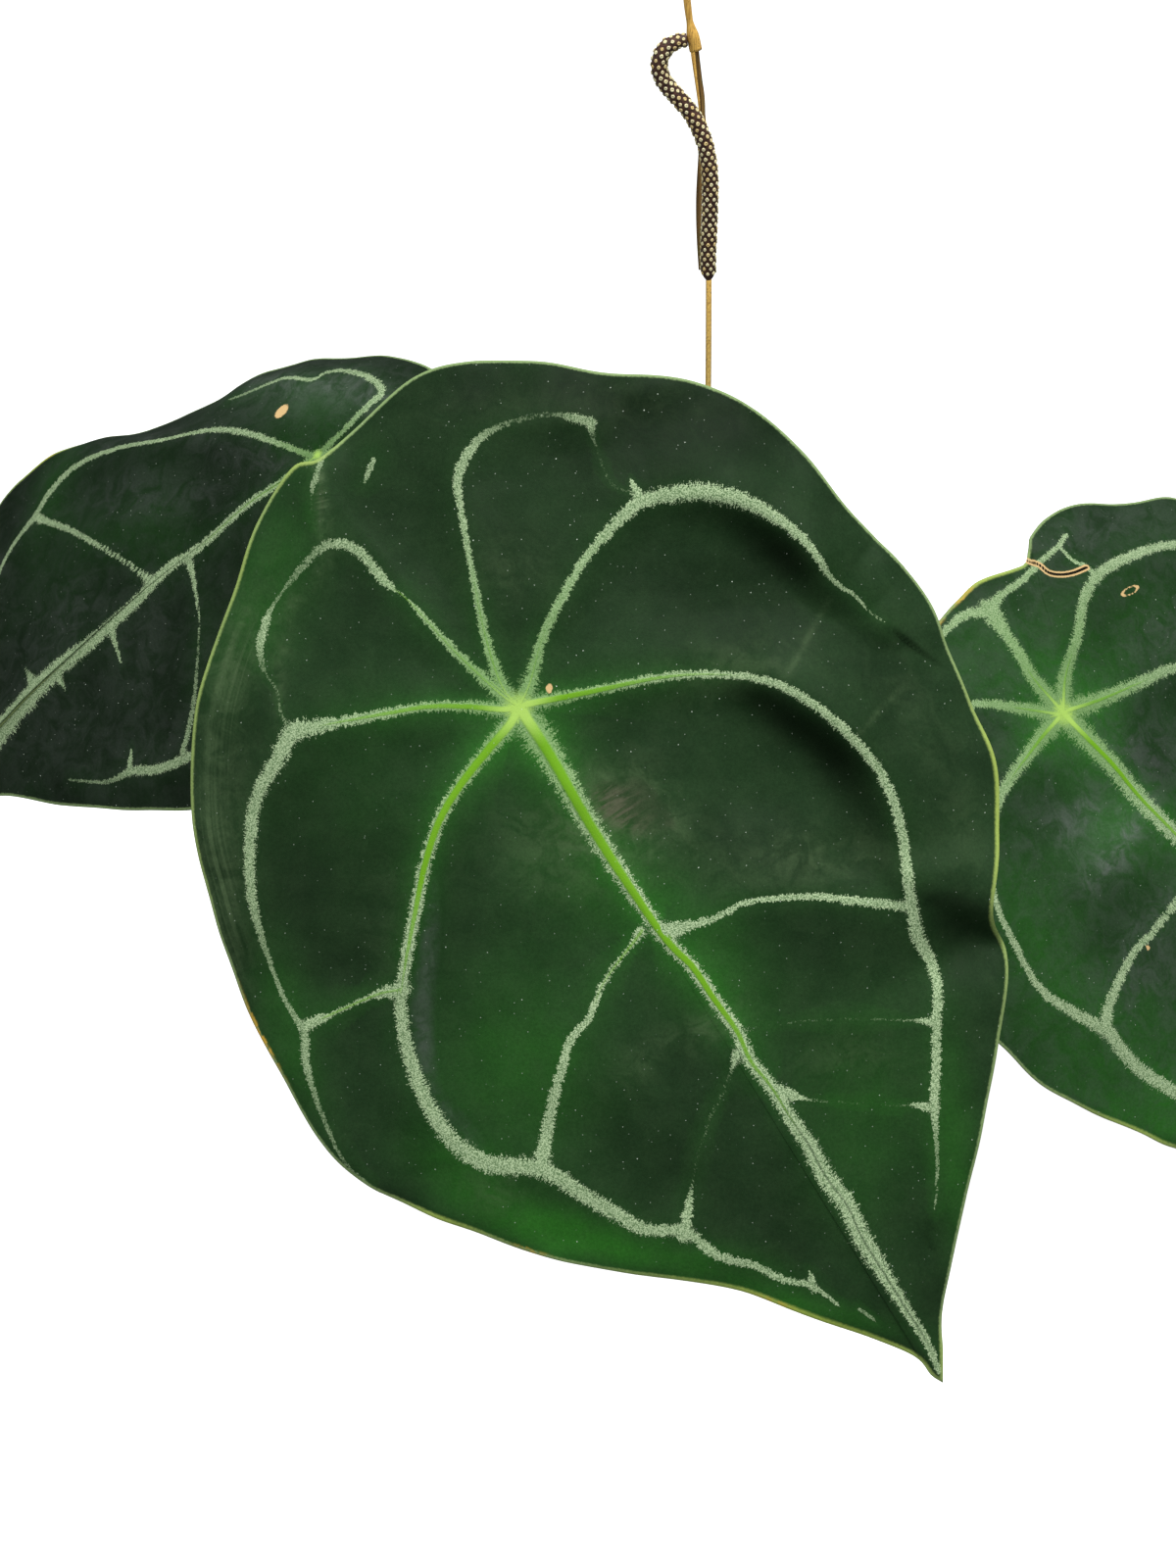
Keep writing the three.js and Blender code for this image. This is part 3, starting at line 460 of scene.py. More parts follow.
LEAF_STALKS = {
    "main": {
        "side": (1, 0, 0),
        "bends": [(0, 0, 132), (-1, -14, 146), (-9, -38, 185), (-26, -74, 219), (-42, -108, 232)],
    },
    "left": {
        "side": (0, 1, 0),
        "bends": [(0, 0, 128), (-14, -1, 141), (-34, -3, 186), (-66, -10, 225), (-90, -18, 240)],
    },
    "right": {
        "side": (0, 1, 0),
        "bends": [(0, 0, 120), (14, -3, 132), (36, -13, 146), (66, -27, 150), (91, -38, 158)],
    },
}
FLOWER_STALK_PATH = [
    (0, 0, 140), (1, 3, 158), (4, 26, 190), (6, 57, 222), (6.5, 80, 250), (6, 97, 280), (4, 108, 308),
    (-0.5, 114, 335), (-4, 114, 362), (-5, 105, 386), (-6, 87, 398), (-6, 70, 392), (-5.6, 62, 378),
    (-5.3, 60, 364), (-4.4, 60, 358), (-3.5, 60, 354), (-2.6, 60, 350.5), (-2, 60, 348),
]
SPADIX_PATH = [
    (-4.7, 60, 351.1), (-7.9, 60, 350.4), (-10.8, 60, 348.7), (-12.6, 60, 345.3), (-12.5, 60, 341.7),
    (-10.8, 60, 338.2), (-8.4, 60, 335.5), (-5.6, 60, 332.6), (-2.8, 60, 329.2), (-0.6, 60, 325.5),
    (1.3, 60, 321.3), (2.6, 60, 316.8), (3.7, 60, 309.7), (4, 60, 301.9), (4.1, 60, 294),
    (4.1, 60, 285), (4.5, 60, 276),
]
SPATHE_PATH = [
    (-1.9, 60, 347.6), (-1.4, 60.6, 344), (-0.5, 62.3, 338), (0.7, 65, 331), (1.3, 66.4, 322),
    (1.4, 67, 312), (1.3, 67, 300), (1.6, 66.6, 286), (2, 65.9, 277),
]
SPATHE_SIDE = (0.33, 0.94, 0)
SHEATHS = [
    {"bearing": 45, "half_angle": 24, "foot": 113, "height": 48, "lean": 7},
    {"bearing": 135, "half_angle": 24, "foot": 112, "height": 56, "lean": 9},
    {"bearing": 225, "half_angle": 11, "foot": 114, "height": 40, "lean": 6},
]
SHEATH_THICKNESS = 0.5
SHEATH_CLEARANCE = 0.8
ROOTS = [
    {"bearing": 82, "level": 121, "reach": 27},
    {"bearing": 250, "level": 118, "reach": 25},
    {"bearing": 291, "level": 121, "reach": 28},
]
CHIP_COUNT = 8

# How far the lime cords stand out of a blade, and how wide they are.
CORD_HEIGHT = 0.45
CORD_REACH = 1.5
SLIT_HALF_WIDTH = 1.05
FLOWERS_ROUND = 7

# The camera and what the lamps face, in metres and degrees.
CAMERA_PLACE = (-0.034, -0.5328, 0.5346)
CAMERA_ELEVATION = 38
LAMP_TARGET = (0, -0.1, 0.25)

# How far the floor lies under the pot's foot.
FLOOR_GAP = 0.2


# Curves and surfaces.

def spline(points, steps, centripetal=True):
    """A Catmull-Rom curve through the points, with that many steps from each to the next.

    On a centripetal curve the knots lie apart by the square root of the gaps; on the other one they lie
    one apart, and a point's slope is half of the step between its neighbours.
    """
    points = np.asarray(points, float)
    around = np.vstack([2 * points[0] - points[1], points, 2 * points[-1] - points[-2]])
    spans = len(points) - 1
    before, start, end, after = (around[k:spans + k, None, :] for k in range(4))
    if centripetal:
        knots = np.sqrt(np.linalg.norm(np.diff(around, axis=0), axis=1))
        first, middle, last = (knots[k:spans + k, None, None] for k in range(3))
        ahead = (end - start) / middle
        leave = ((start - before) / first - (end - before) / (first + middle) + ahead) * middle
        arrive = (ahead - (after - start) / (middle + last) + (after - end) / last) * middle
    else:
        leave = (end - before) / 2
        arrive = (after - start) / 2
    t = (np.arange(steps) / steps)[None, :, None]
    curve = (
        (2 * t**3 - 3 * t**2 + 1) * start + (t**3 - 2 * t**2 + t) * leave
        + (3 * t**2 - 2 * t**3) * end + (t**3 - t**2) * arrive
    )
    return np.vstack([curve.reshape(-1, points.shape[1]), points[-1]])


def unit(vectors):
    """The vectors, each cut or drawn out to a length of one."""
    return np.asarray(vectors) / np.linalg.norm(vectors, axis=-1, keepdims=True)


def polar(radius, angle, *heights):
    """Points at a distance and an angle from an axis, and at a height along it if one is given."""
    return np.stack([radius * np.cos(angle), radius * np.sin(angle), *heights], axis=-1)


def runs_of(curve):
    """How far along the curve each of its points lies."""
    return np.concatenate([[0], np.cumsum(np.linalg.norm(np.diff(curve, axis=0), axis=1))])


def read_at(curve, runs, wanted):
    """The curve's values at the wanted runs, on straight lines between those that it has."""
    return np.stack([np.interp(wanted, runs, column) for column in curve.T], axis=1)


def evenly(curve, count):
    """The curve again, as that many points at even steps of its length."""
    runs = runs_of(curve)
    return read_at(curve, runs, np.linspace(0, runs[-1], count))


def smooth_step(value, low, high):
    """0 below low, 1 above high, and 3 t squared less 2 t cubed between them."""
    t = np.clip((value - low) / (high - low), 0, 1)
    return t * t * (3 - 2 * t)


def ripple(points, length, seed, count=10):
    """Soft noise of about one each way: a sum of sine waves in seeded directions, near that wave length."""
    rng = np.random.default_rng(seed)
    directions = unit(rng.normal(size=(count, points.shape[1])))
    waves = directions * (2 * math.pi / (length * rng.uniform(0.7, 1.4, count)))[:, None]
    phases = rng.uniform(0, 2 * math.pi, count)
    return np.sin(points @ waves.T + phases).sum(axis=1) / math.sqrt(count)


def along_run(pairs, run):
    """The value at each run, on straight lines between [run, value] pairs."""
    runs, values = zip(*pairs)
    return np.interp(run, runs, values)


def cloud_sum(clouds, x, y):
    """The sum of Gaussian bells: strength times e to the minus squared ratio of each turned oval."""
    total = np.zeros_like(x)
    for *oval, strength in clouds:
        total += strength * np.exp(-oval_ratio(oval, x, y) ** 2)
    return total


def oval_ratio(oval, x, y):
    """How many times as far out as the edge of a turned oval: (right, up, reach, reach across, turn)."""
    right, up, reach, across_reach, turn = oval
    angle = math.radians(turn)
    along = ((x - right) * math.cos(angle) + (y - up) * math.sin(angle)) / reach
    across = ((y - up) * math.cos(angle) - (x - right) * math.sin(angle)) / across_reach
    return np.hypot(along, across)


def ring_quads(rings, sides):
    """Quads between rings of points that follow each other, sides points to a ring."""
    steps = np.arange(sides)
    after = (steps + 1) % sides
    rows = sides * np.arange(rings - 1)[:, None]
    corners = [rows + steps, rows + after, rows + sides + after, rows + sides + steps]
    return np.stack(corners, axis=-1).reshape(-1, 4)


def cap_fans(rings, sides):
    """Triangles that close the first and the last ring with two poles, which follow the rings' points."""
    steps = np.arange(sides)
    after = (steps + 1) % sides
    last = (rings - 1) * sides
    low = np.stack([np.full(sides, rings * sides), after, steps], axis=1)
    high = np.stack([np.full(sides, rings * sides + 1), last + steps, last + after], axis=1)
    return np.vstack([low, high])


def copies(faces, count, size):
    """The faces again for each of that many shapes, whose points follow each other, size to a shape."""
    return (faces + size * np.arange(count)[:, None, None]).reshape(-1, faces.shape[1])


def frames_along(path, side):
    """At each point: the way on, the side direction squared up to it, and the cross product of the two."""
    ahead = unit(np.gradient(path, axis=0))
    first = unit(side - (ahead @ side)[:, None] * ahead)
    return ahead, first, np.cross(ahead, first)


def tube(path, section, side):
    """A closed rod: each point is the path's point + first axis * a + second axis * b.

    section holds a and b for each step and side, as an array of steps by sides by 2.
    """
    _, first, second = frames_along(path, side)
    steps, sides = section.shape[:2]
    points = path[:, None, :] + first[:, None, :] * section[..., :1] + second[:, None, :] * section[..., 1:]
    vertices = np.vstack([points.reshape(-1, 3), path[0], path[-1]])
    return vertices, ring_quads(steps, sides), cap_fans(steps, sides)


def round_section(radii, sides):
    """Circles: each step's radius times the cosine and the sine of even angles."""
    return polar(radii[:, None], turn_round(sides))


def turn_round(sides):
    """That many even angles, from 0."""
    return 2 * math.pi * np.arange(sides) / sides


def blunt_ends(run, radius, length):
    """A factor that rounds both ends of a rod: the root of 1 less the squared share of the way in."""
    gap = np.minimum(run, run[-1] - run)
    share = 1 - np.clip(gap / length, 0, 1)
    return np.sqrt(np.clip(1 - share**2 * 0.96, 0, 1))


def turned(profile, sides, wobble=None):
    """A closed lathe shape: profile rows of [radius, height] turned about Z; its ends lie on the axis.

    wobble(angle, radius, height) gives an added radius and height in millimetres.
    """
    body = profile[1:-1]
    angles = turn_round(sides)
    radius = np.repeat(body[:, :1], sides, axis=1)
    height = np.repeat(body[:, 1:], sides, axis=1)
    if wobble is not None:
        more_radius, more_height = wobble(angles[None, :], radius, height)
        radius = radius + more_radius
        height = height + more_height
    points = polar(radius, angles, height)
    poles = [[0, 0, profile[0][1]], [0, 0, profile[-1][1]]]
    vertices = np.vstack([points.reshape(-1, 3), poles])
    return vertices, ring_quads(len(body), sides), cap_fans(len(body), sides)


def soft_profile(corners, spacing, softness):
    """The corners' polyline at even steps, with its corners rounded by a running Gaussian mean."""
    corners = np.asarray(corners, float)
    count = int(runs_of(corners)[-1] / spacing)
    line = evenly(corners, count)
    reach = int(3 * softness / spacing)
    weights = np.exp(-(np.arange(-reach, reach + 1) * spacing / softness) ** 2)
    weights /= weights.sum()
    padded = np.vstack([np.repeat(line[:1], reach, axis=0), line, np.repeat(line[-1:], reach, axis=0)])
    smooth = np.stack([np.convolve(column, weights, "valid") for column in padded.T], axis=1)
    smooth[0] = line[0]
    smooth[-1] = line[-1]
    return smooth


# Turning arrays into Blender objects.

def mesh_from(name, vertices, quads=(), triangles=()):
    """A mesh from millimetre points, with its faces as arrays of four and of three corners."""
    quads = np.asarray(quads, np.int32).reshape(-1, 4)
    triangles = np.asarray(triangles, np.int32).reshape(-1, 3)
    mesh = bpy.data.meshes.new(name)
    mesh.vertices.add(len(vertices))
    mesh.vertices.foreach_set("co", (np.asarray(vertices) * MM).astype(np.float32).ravel())
    corners = np.concatenate([quads.ravel(), triangles.ravel()])
    mesh.loops.add(len(corners))
    mesh.loops.foreach_set("vertex_index", corners)
    starts = np.concatenate([4 * np.arange(len(quads)), 4 * len(quads) + 3 * np.arange(len(triangles))])
    mesh.polygons.add(len(starts))
    mesh.polygons.foreach_set("loop_start", starts.astype(np.int32))
    mesh.update(calc_edges=True)
    if mesh.validate():
        raise RuntimeError(f"{name} had faces that don't hold together")
    mesh.polygons.foreach_set("use_smooth", np.ones(len(starts), bool))
    return mesh


def give_vectors(mesh, name, *columns):
    """Stores three numbers a vertex under a name that the materials read."""
    attribute = mesh.attributes.new(name, "FLOAT_VECTOR", "POINT")
    attribute.data.foreach_set("vector", np.stack(columns, axis=1).astype(np.float32).ravel())


def settle(mesh, materials, slot, nodes=()):
    """Makes the mesh a piece of the plant: on its body, with its finish, standing for its solid nodes."""
    piece = bpy.data.objects.new(mesh.name, mesh)
    bpy.context.scene.collection.objects.link(piece)
    for material in materials:
        mesh.materials.append(material)
    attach(piece, "root")
    if nodes:
        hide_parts(*nodes)
    return piece


# Building materials.

class Value:
    """A node's output. The signs + - * and abs() on it each add a Math node."""

    def __init__(self, graph, socket):
        self.graph = graph
        self.socket = socket

    def __add__(self, other):
        return self.graph.math("ADD", self, other)

    def __sub__(self, other):
        return self.graph.math("SUBTRACT", self, other)

    def __rsub__(self, other):
        return self.graph.math("SUBTRACT", other, self)

    def __mul__(self, other):
        return self.graph.math("MULTIPLY", self, other)

    def __abs__(self):
        return self.graph.math("ABSOLUTE", self)


class Graph:
    """Adds nodes to a tree. An input takes a link if it is given a Value, and is set if it is not."""

    def __init__(self, tree):
        self.tree = tree

    def put(self, socket, value):
        if isinstance(value, Value):
            self.tree.links.new(value.socket, socket)
        else:
            socket.default_value = value

    def add(self, kind, inputs=None, **settings):
        node = self.tree.nodes.new(kind if kind.startswith("Node") else "ShaderNode" + kind)
        for name, value in settings.items():
            setattr(node, name, value)
        for key, value in (inputs or {}).items():
            self.put(node.inputs[key], value)
        return node

    def take(self, kind, output, inputs=None, **settings):
        """One output of a new node."""
        return Value(self, self.add(kind, inputs, **settings).outputs[output])

    def read(self, node):
        """All of a node's outputs by their names."""
        return {socket.name: Value(self, socket) for socket in node.outputs}

    def math(self, operation, first, second=0.0, clamp=False):
        return self.take("Math", 0, {0: first, 1: second}, operation=operation, use_clamp=clamp)

    def kept(self, value):
        """The value held between 0 and 1."""
        return self.math("ADD", value, 0.0, clamp=True)

    def step(self, value, low, high):
        """A smooth step from 0 to 1 as the value goes from low to high, which may be below low."""
        inputs = {0: value, 1: low, 2: high, 3: 0.0, 4: 1.0}
        return self.take("MapRange", 0, inputs, interpolation_type="SMOOTHSTEP")

    def blend(self, share, low, high, way="MIX"):
        return self.take("Mix", 2, {0: share, 6: low, 7: high}, data_type="RGBA", blend_type=way)

    def dimmed(self, colour, light):
        """The colour times a number."""
        return self.blend(1.0, colour, self.vector(light, light, light), "MULTIPLY")

    def noise(self, where, scale, detail=3.0, roughness=0.55, distortion=0.0):
        return self.take("TexNoise", 0, {
            "Vector": where, "Scale": scale, "Detail": detail, "Roughness": roughness,
            "Distortion": distortion,
        })

    def parts(self, vector):
        return [Value(self, socket) for socket in self.add("SeparateXYZ", {0: vector}).outputs]

    def vector(self, x, y, z):
        return self.take("CombineXYZ", 0, {0: x, 1: y, 2: z})

    def stored(self, name):
        """The three numbers that a mesh stores under a name."""
        return self.parts(self.take("Attribute", "Vector", attribute_name=name))

    def place(self, stretch=(1, 1, 1)):
        """Object coordinates in millimetres, stretched."""
        inputs = {0: self.take("TexCoord", "Object"), 1: tuple(value / MM for value in stretch)}
        return self.take("VectorMath", 0, inputs, operation="MULTIPLY")

    def surface(self, tone, roughness, relief, depth, strength=0.8):
        """What a shader takes: a colour, a roughness and a bump, whose depth is in millimetres."""
        bump = self.take("Bump", 0, {"Height": relief, "Distance": depth * MM, "Strength": strength})
        return {"Base Color": tone, "Roughness": roughness, "Normal": bump}

    def use(self, name, make, inputs):
        """The outputs of a node group, which is made the first time."""
        tree = bpy.data.node_groups.get(name) or make(name)
        return self.read(self.add("Group", inputs, node_tree=tree))


def paint(red, green, blue):
    """A colour as the eye's 0 to 255 numbers, turned into the linear values that nodes take."""
    values = np.array([red, green, blue]) / 255
    linear = np.where(values <= 0.04045, values / 12.92, ((values + 0.055) / 1.055) ** 2.4)
    return (*(float(value) for value in linear), 1.0)


def graph_of(owner):
    """An empty graph of nodes for a material or a world."""
    owner.use_nodes = True
    owner.node_tree.nodes.clear()
    return Graph(owner.node_tree)


def new_group(name, inputs, outputs, build):
    """A shader group with named sockets. build(graph, entry) returns what it puts out."""
    tree = bpy.data.node_groups.new(name, "ShaderNodeTree")
    for socket, kind, value in inputs:
        made = tree.interface.new_socket(socket, in_out="INPUT", socket_type="NodeSocket" + kind)
        if value is not None:
            made.default_value = value
    for socket, kind in outputs:
        tree.interface.new_socket(socket, in_out="OUTPUT", socket_type="NodeSocket" + kind)
    graph = Graph(tree)
    graph.add("NodeGroupOutput", build(graph, graph.read(graph.add("NodeGroupInput"))))
    return tree


def dust_group(name):
    """Pale specks: dots of about a fifth of a millimetre, in some of the cells of a random lattice."""
    def build(graph, entry):
        cells = graph.read(graph.add("TexVoronoi", {"Vector": entry["Place"], "Scale": entry["Count"]}))
        size = entry["Size"] * entry["Count"]
        dot = graph.step(cells["Distance"], size, size * 0.5)
        lot, faint, _ = graph.parts(cells["Color"])
        return {"Mask": dot * graph.step(lot, 1 - entry["Share"], 1.0) * (faint * 0.7 + 0.3)}

    inputs = [("Place", "Vector", None), ("Count", "Float", 0.22), ("Size", "Float", 0.2),
              ("Share", "Float", 0.6)]
    return new_group(name, inputs, [("Mask", "Float")], build)


def mottle_group(name):
    """Two tones mixed by noise of a given grain, with a third tone in the noise's highest spots."""
    def build(graph, entry):
        broad = graph.noise(entry["Place"], entry["Grain"], 5.0, 0.6)
        tone = graph.blend(graph.step(broad, 0.35, 0.65), entry["Low"], entry["High"])
        spots = graph.noise(entry["Place"], entry["Grain"] * 4.3, 3.0)
        spotted = graph.step(spots, 0.58, 0.7) * entry["Spots"]
        return {"Color": graph.blend(spotted, tone, entry["Spot"]), "Height": broad + spots * 0.4}

    inputs = [("Place", "Vector", None), ("Grain", "Float", 0.2), ("Low", "Color", (0.1, 0.1, 0.1, 1)),
              ("High", "Color", (0.2, 0.2, 0.2, 1)), ("Spot", "Color", (0.3, 0.3, 0.3, 1)),
              ("Spots", "Float", 0.5)]
    return new_group(name, inputs, [("Color", "Color"), ("Height", "Float")], build)


def band_group(name):
    """A leaf vein's silver band: its mask has a hairy edge, and gaps where the band is weak.

    The mask is a step of the distance over the half width, past an edge near 1 that noise moves. The noise
    is drawn out across the vein, so it looks like fine hairs, and Wild makes the hairs longer.
    """
    def build(graph, entry):
        place, run, band, wild = (entry[key] for key in ("Place", "Run", "Band", "Wild"))
        fringe = graph.noise(graph.vector(run * 1.9, entry["Centre"] * 0.5, 0.0), 1.0, 2.0, 0.6)
        speckle = graph.noise(place, 2.9, 2.0, 0.6)
        clumps = graph.noise(graph.vector(run * 0.45, entry["Side"], 7.0), 1.0, 2.0)
        grainy = graph.step(speckle + (0.85 - band) * 0.35, 0.34, 0.5)
        edge = (fringe - 0.5) * (entry["Fringe"] + wild) + (speckle - 0.5) * 1.3 + (clumps - 0.5) * 1.1
        edge = edge + wild * 0.16 + 0.94
        mask = graph.step(band, edge + 0.13, edge - 0.16)
        closed = (1 - entry["Strength"]) * 0.66
        whole = graph.step(graph.noise(place, 1.0, 3.0, 0.65), closed, closed + 0.14)
        thin = graph.kept(entry["Strength"] * 1.2 - 0.1)
        return {"Mask": mask * whole * thin * (grainy * 0.65 + 0.35), "Speckle": speckle, "Fringe": fringe}

    inputs = [("Place", "Vector", None), ("Band", "Float", 4.0), ("Run", "Float", 0.0),
              ("Centre", "Float", 0.0), ("Side", "Float", 0.0), ("Strength", "Float", 1.0),
              ("Fringe", "Float", 2.2), ("Wild", "Float", 0.0)]
    outputs = [("Mask", "Float"), ("Speckle", "Float"), ("Fringe", "Float")]
    return new_group(name, inputs, outputs, build)


def dust(graph, place, count=0.22, size=0.2, share=0.6):
    inputs = {"Place": place, "Count": count, "Size": size, "Share": share}
    return graph.use("Dust specks", dust_group, inputs)["Mask"]


def mottle(graph, place, grain, low, high, spot, spots=0.5):
    inputs = {"Place": place, "Grain": grain, "Low": low, "High": high, "Spot": spot, "Spots": spots}
    made = graph.use("Mottle", mottle_group, inputs)
    return made["Color"], made["Height"]


def material(name, specular, look=None):
    """Makes a function that draws a finish into one that returns its material, made the first time.

    The drawing function takes the graph, and the looks that a user may change if they are named here. It
    returns the values for a Principled shader's inputs.
    """
    def wrap(draw):
        def make():
            known = bpy.data.materials.get(name)
            if known:
                return known
            made = bpy.data.materials.new(name)
            graph = graph_of(made)
            looks = [getattr(bpy.context.scene, look)] if look else []
            values = {"Specular IOR Level": specular, **draw(graph, *looks)}
            graph.add("OutputMaterial", {"Surface": graph.take("BsdfPrincipled", 0, values)})
            return made

        return make

    return wrap


@material("Leaf velvet", 0.04, "anthurium_leaf")
def leaf_top_material(graph, look):
    """Dark velvet with painted shade, greener along the veins, clouded with painted grey sheen and
    mottling, and veined in fringed silver and lime.
    """
    place = graph.place()
    band, centre, near = graph.stored("vein")
    run, core, strength = graph.stored("course")
    lush, cast, rim = graph.stored("tone")
    reach, scar, burn = graph.stored("mark")
    gold, shade, seam = graph.stored("trim")
    broad = graph.noise(place, 0.035, 4.0, 0.6)
    fine = graph.noise(place, 1.3, 3.0, 0.6)
    grain = graph.noise(place, 5.0, 2.0, 0.6)
    drift = graph.noise(place, 0.14, 4.0, 0.65, 1.0)

    # The velvet between the veins, with its green flanks, its clouds of painted sheen and grey mottling,
    # and its painted shade.
    lamina = graph.blend(graph.step(broad, 0.25, 0.75), look.shade, look.lamina)
    flank = graph.math("EXPONENT", near * -0.3) * (core * 0.6 + 0.14)
    patchy = graph.noise(place, 0.1, 3.0, 0.6) * 0.9 + 0.5
    lamina = graph.blend(graph.kept((lush + flank) * patchy), lamina, look.lush)
    # Painted sheen: grey green, warm brown where the clouds are strongest and cool where they are negative,
    # drawn out in streaks along the veins, in contours along the margin and in drifting wisps.
    strong_sheen = graph.step(cast, 0.6, 1.05)
    streak = graph.noise(graph.vector(run * 0.5, near * 0.09, 0.0), 1.0, 4.0, 0.6, 0.5)
    vein_sheen_streaks = graph.step(streak, 0.36, 0.66) * graph.step(near, 17.0, 6.0) * (strong_sheen + 0.2)
    contours = graph.noise(graph.vector(rim * 0.8, reach * 0.02, 4.0), 1.0, 3.0)
    margin_sheen = graph.step(contours, 0.38, 0.62) * graph.step(rim, 16.0, 9.0) * graph.step(cast, 0.25, 0.6)
    sheen_wisps = vein_sheen_streaks + margin_sheen + graph.step(drift, 0.36, 0.66) * (strong_sheen * -0.6 + 0.75) + 0.1
    cloud = graph.blend(strong_sheen, look.cloud, look.warm_painted_sheen)
    cloud = graph.blend(graph.step(cast, 0.05, -0.2), cloud, look.cool_mottle_and_sheen)
    lamina = graph.blend(graph.kept(abs(cast) * sheen_wisps) * 0.75, lamina, cloud)
    # Painted shade darkens the velvet as the shade clouds say, and painted sheen lightens it where they are
    # negative.
    lamina = graph.dimmed(lamina, (fine * 0.65 + grain * 0.55 + 0.4) * (1 - shade))

    # The silver bands, with a darker seam along the midrib.
    made = graph.use("Silver band", band_group, {
        "Place": place, "Band": band, "Run": run, "Centre": centre, "Strength": strength,
        "Side": graph.math("SIGN", centre) * 4.0, "Wild": graph.step(reach, 17.0, 3.0) * 2.8,
    })
    silver, speckle, fringe = made["Mask"], made["Speckle"], made["Fringe"]
    pale = graph.blend(graph.step(speckle, 0.4, 0.6), look.silver_shade, look.silver)
    pale = graph.blend(graph.step(reach, 60.0, 4.0) * 0.75, pale, look.silver_green)
    seamed = graph.step(abs(centre), 0.42, 0.14) * seam * graph.step(fringe, 0.34, 0.5) * 0.6
    # Painted shade darkens the silver bands too, by 0.45 of the shade.
    pale = graph.dimmed(graph.blend(seamed, pale, look.lamina), shade * -0.45 + 1.0)
    colour = graph.blend(silver * 0.94, lamina, pale)

    # The lime cords, with painted shade along their right side, and the bright heart where they meet.
    gap = graph.math("MAXIMUM", abs(centre), near - 0.7)
    lime_edge = fringe * 0.5 + (core - 0.25)
    lime = graph.step(gap, lime_edge, lime_edge * 0.5) * graph.step(core, 0.02, 0.3)
    lime_tone = graph.blend(graph.step(reach, 12.0, 2.0), look.lime, look.lime_bright)
    # Painted shade: the side of a cord on the right of its run is half turned to the fresh green.
    lime_tone = graph.blend(graph.step(centre, core * -0.3, core * -0.95) * 0.5, lime_tone, look.lush)
    colour = graph.blend(lime * graph.kept(core * 0.95 + 0.12), colour, lime_tone)
    colour = graph.blend(graph.step(reach + fringe * 3.0, 6.2, 2.2) * 0.9, colour, look.lime_bright)

    # The margin, its burns, the scars and the dust.
    ragged = rim + (fine * 0.7 - 0.35)
    hem_tone = graph.blend(graph.kept(gold), look.hem, look.hem_gold)
    colour = graph.blend(graph.step(ragged, gold + 0.95, 0.35) * 0.85, colour, hem_tone)
    burnt = graph.kept(burn) * graph.step(ragged, 1.3, 0.6)
    singed = burnt * graph.step(graph.noise(place, 0.5, 3.0), 0.38, 0.55)
    colour = graph.blend(singed, colour, paint(214, 172, 66))
    colour = graph.blend(graph.step(scar + fine * 0.35, 1.28, 1.02), colour, paint(220, 186, 132))
    colour = graph.blend(graph.step(scar, 0.5, 0.36), colour, paint(24, 22, 12))
    clusters = graph.step(graph.noise(place, 0.06, 3.0), 0.45, 0.6) * 0.65 + 0.35
    colour = graph.blend(dust(graph, place, 0.6, 0.19, 0.7) * clusters, colour, paint(214, 226, 210))

    relief = fine * 0.25 + grain * 0.1 + silver * 0.35 * speckle + lime * 0.35 + drift * 0.12
    relief = relief - seamed * 0.25
    return graph.surface(colour, silver * 0.14 + fine * 0.12 + 0.42, relief, 0.28, 0.7)


@material("Leaf underside", 0.3)
def leaf_under_material(graph):
    """The paler, matte underside, with ribs that stand out along every vein."""
    place = graph.place()
    band, _, near = graph.stored("vein")
    tones = paint(98, 132, 78), paint(120, 152, 94), paint(86, 118, 66)
    tone, height = mottle(graph, place, 0.08, *tones, 0.3)
    rib = graph.step(near, 1.9, 0.5) * graph.step(band, 2.4, 0.9)
    tone = graph.blend(rib * 0.8, tone, paint(158, 176, 112))
    tone = graph.blend(graph.step(graph.stored("mark")[0], 7.0, 3.0), tone, paint(164, 180, 104))
    fine = graph.noise(place, 1.1, 4.0, 0.65)
    return graph.surface(tone, fine * 0.15 + 0.5, rib * 1.4 + fine * 0.3 + height * 0.2, 0.5)


@material("Leaf stalk", 0.4)
def leaf_stalk_material(graph):
    """Satin green with fine stripes along it and brown flecks, paler on the swollen neck."""
    place = graph.place()
    run, from_neck, _ = graph.stored("stalk")
    stripes = graph.noise(graph.place((1.6, 1.6, 0.12)), 1.0, 4.0, 0.6)
    tone = graph.blend(graph.step(stripes, 0.35, 0.65), paint(62, 92, 42), paint(92, 122, 58))
    tone = graph.blend(graph.step(from_neck, NECK_LENGTH + 3, NECK_LENGTH - 8), tone, paint(142, 160, 82))
    tone = graph.blend(graph.step(run, 26.0, 4.0), tone, paint(126, 108, 62))
    flecks = graph.step(graph.noise(place, 0.9, 3.0), 0.6, 0.7)
    tone = graph.blend(flecks * 0.5, tone, paint(74, 66, 38))
    tone = graph.blend(dust(graph, place) * 0.4, tone, paint(190, 190, 160))
    wrinkles = graph.noise(graph.vector(0.0, 0.0, from_neck), 1.4, 2.0)
    relief = stripes * 0.6 + graph.step(from_neck, NECK_LENGTH, NECK_LENGTH - 4) * wrinkles
    return graph.surface(tone, stripes * 0.2 + 0.38, relief, 0.25, 0.7)


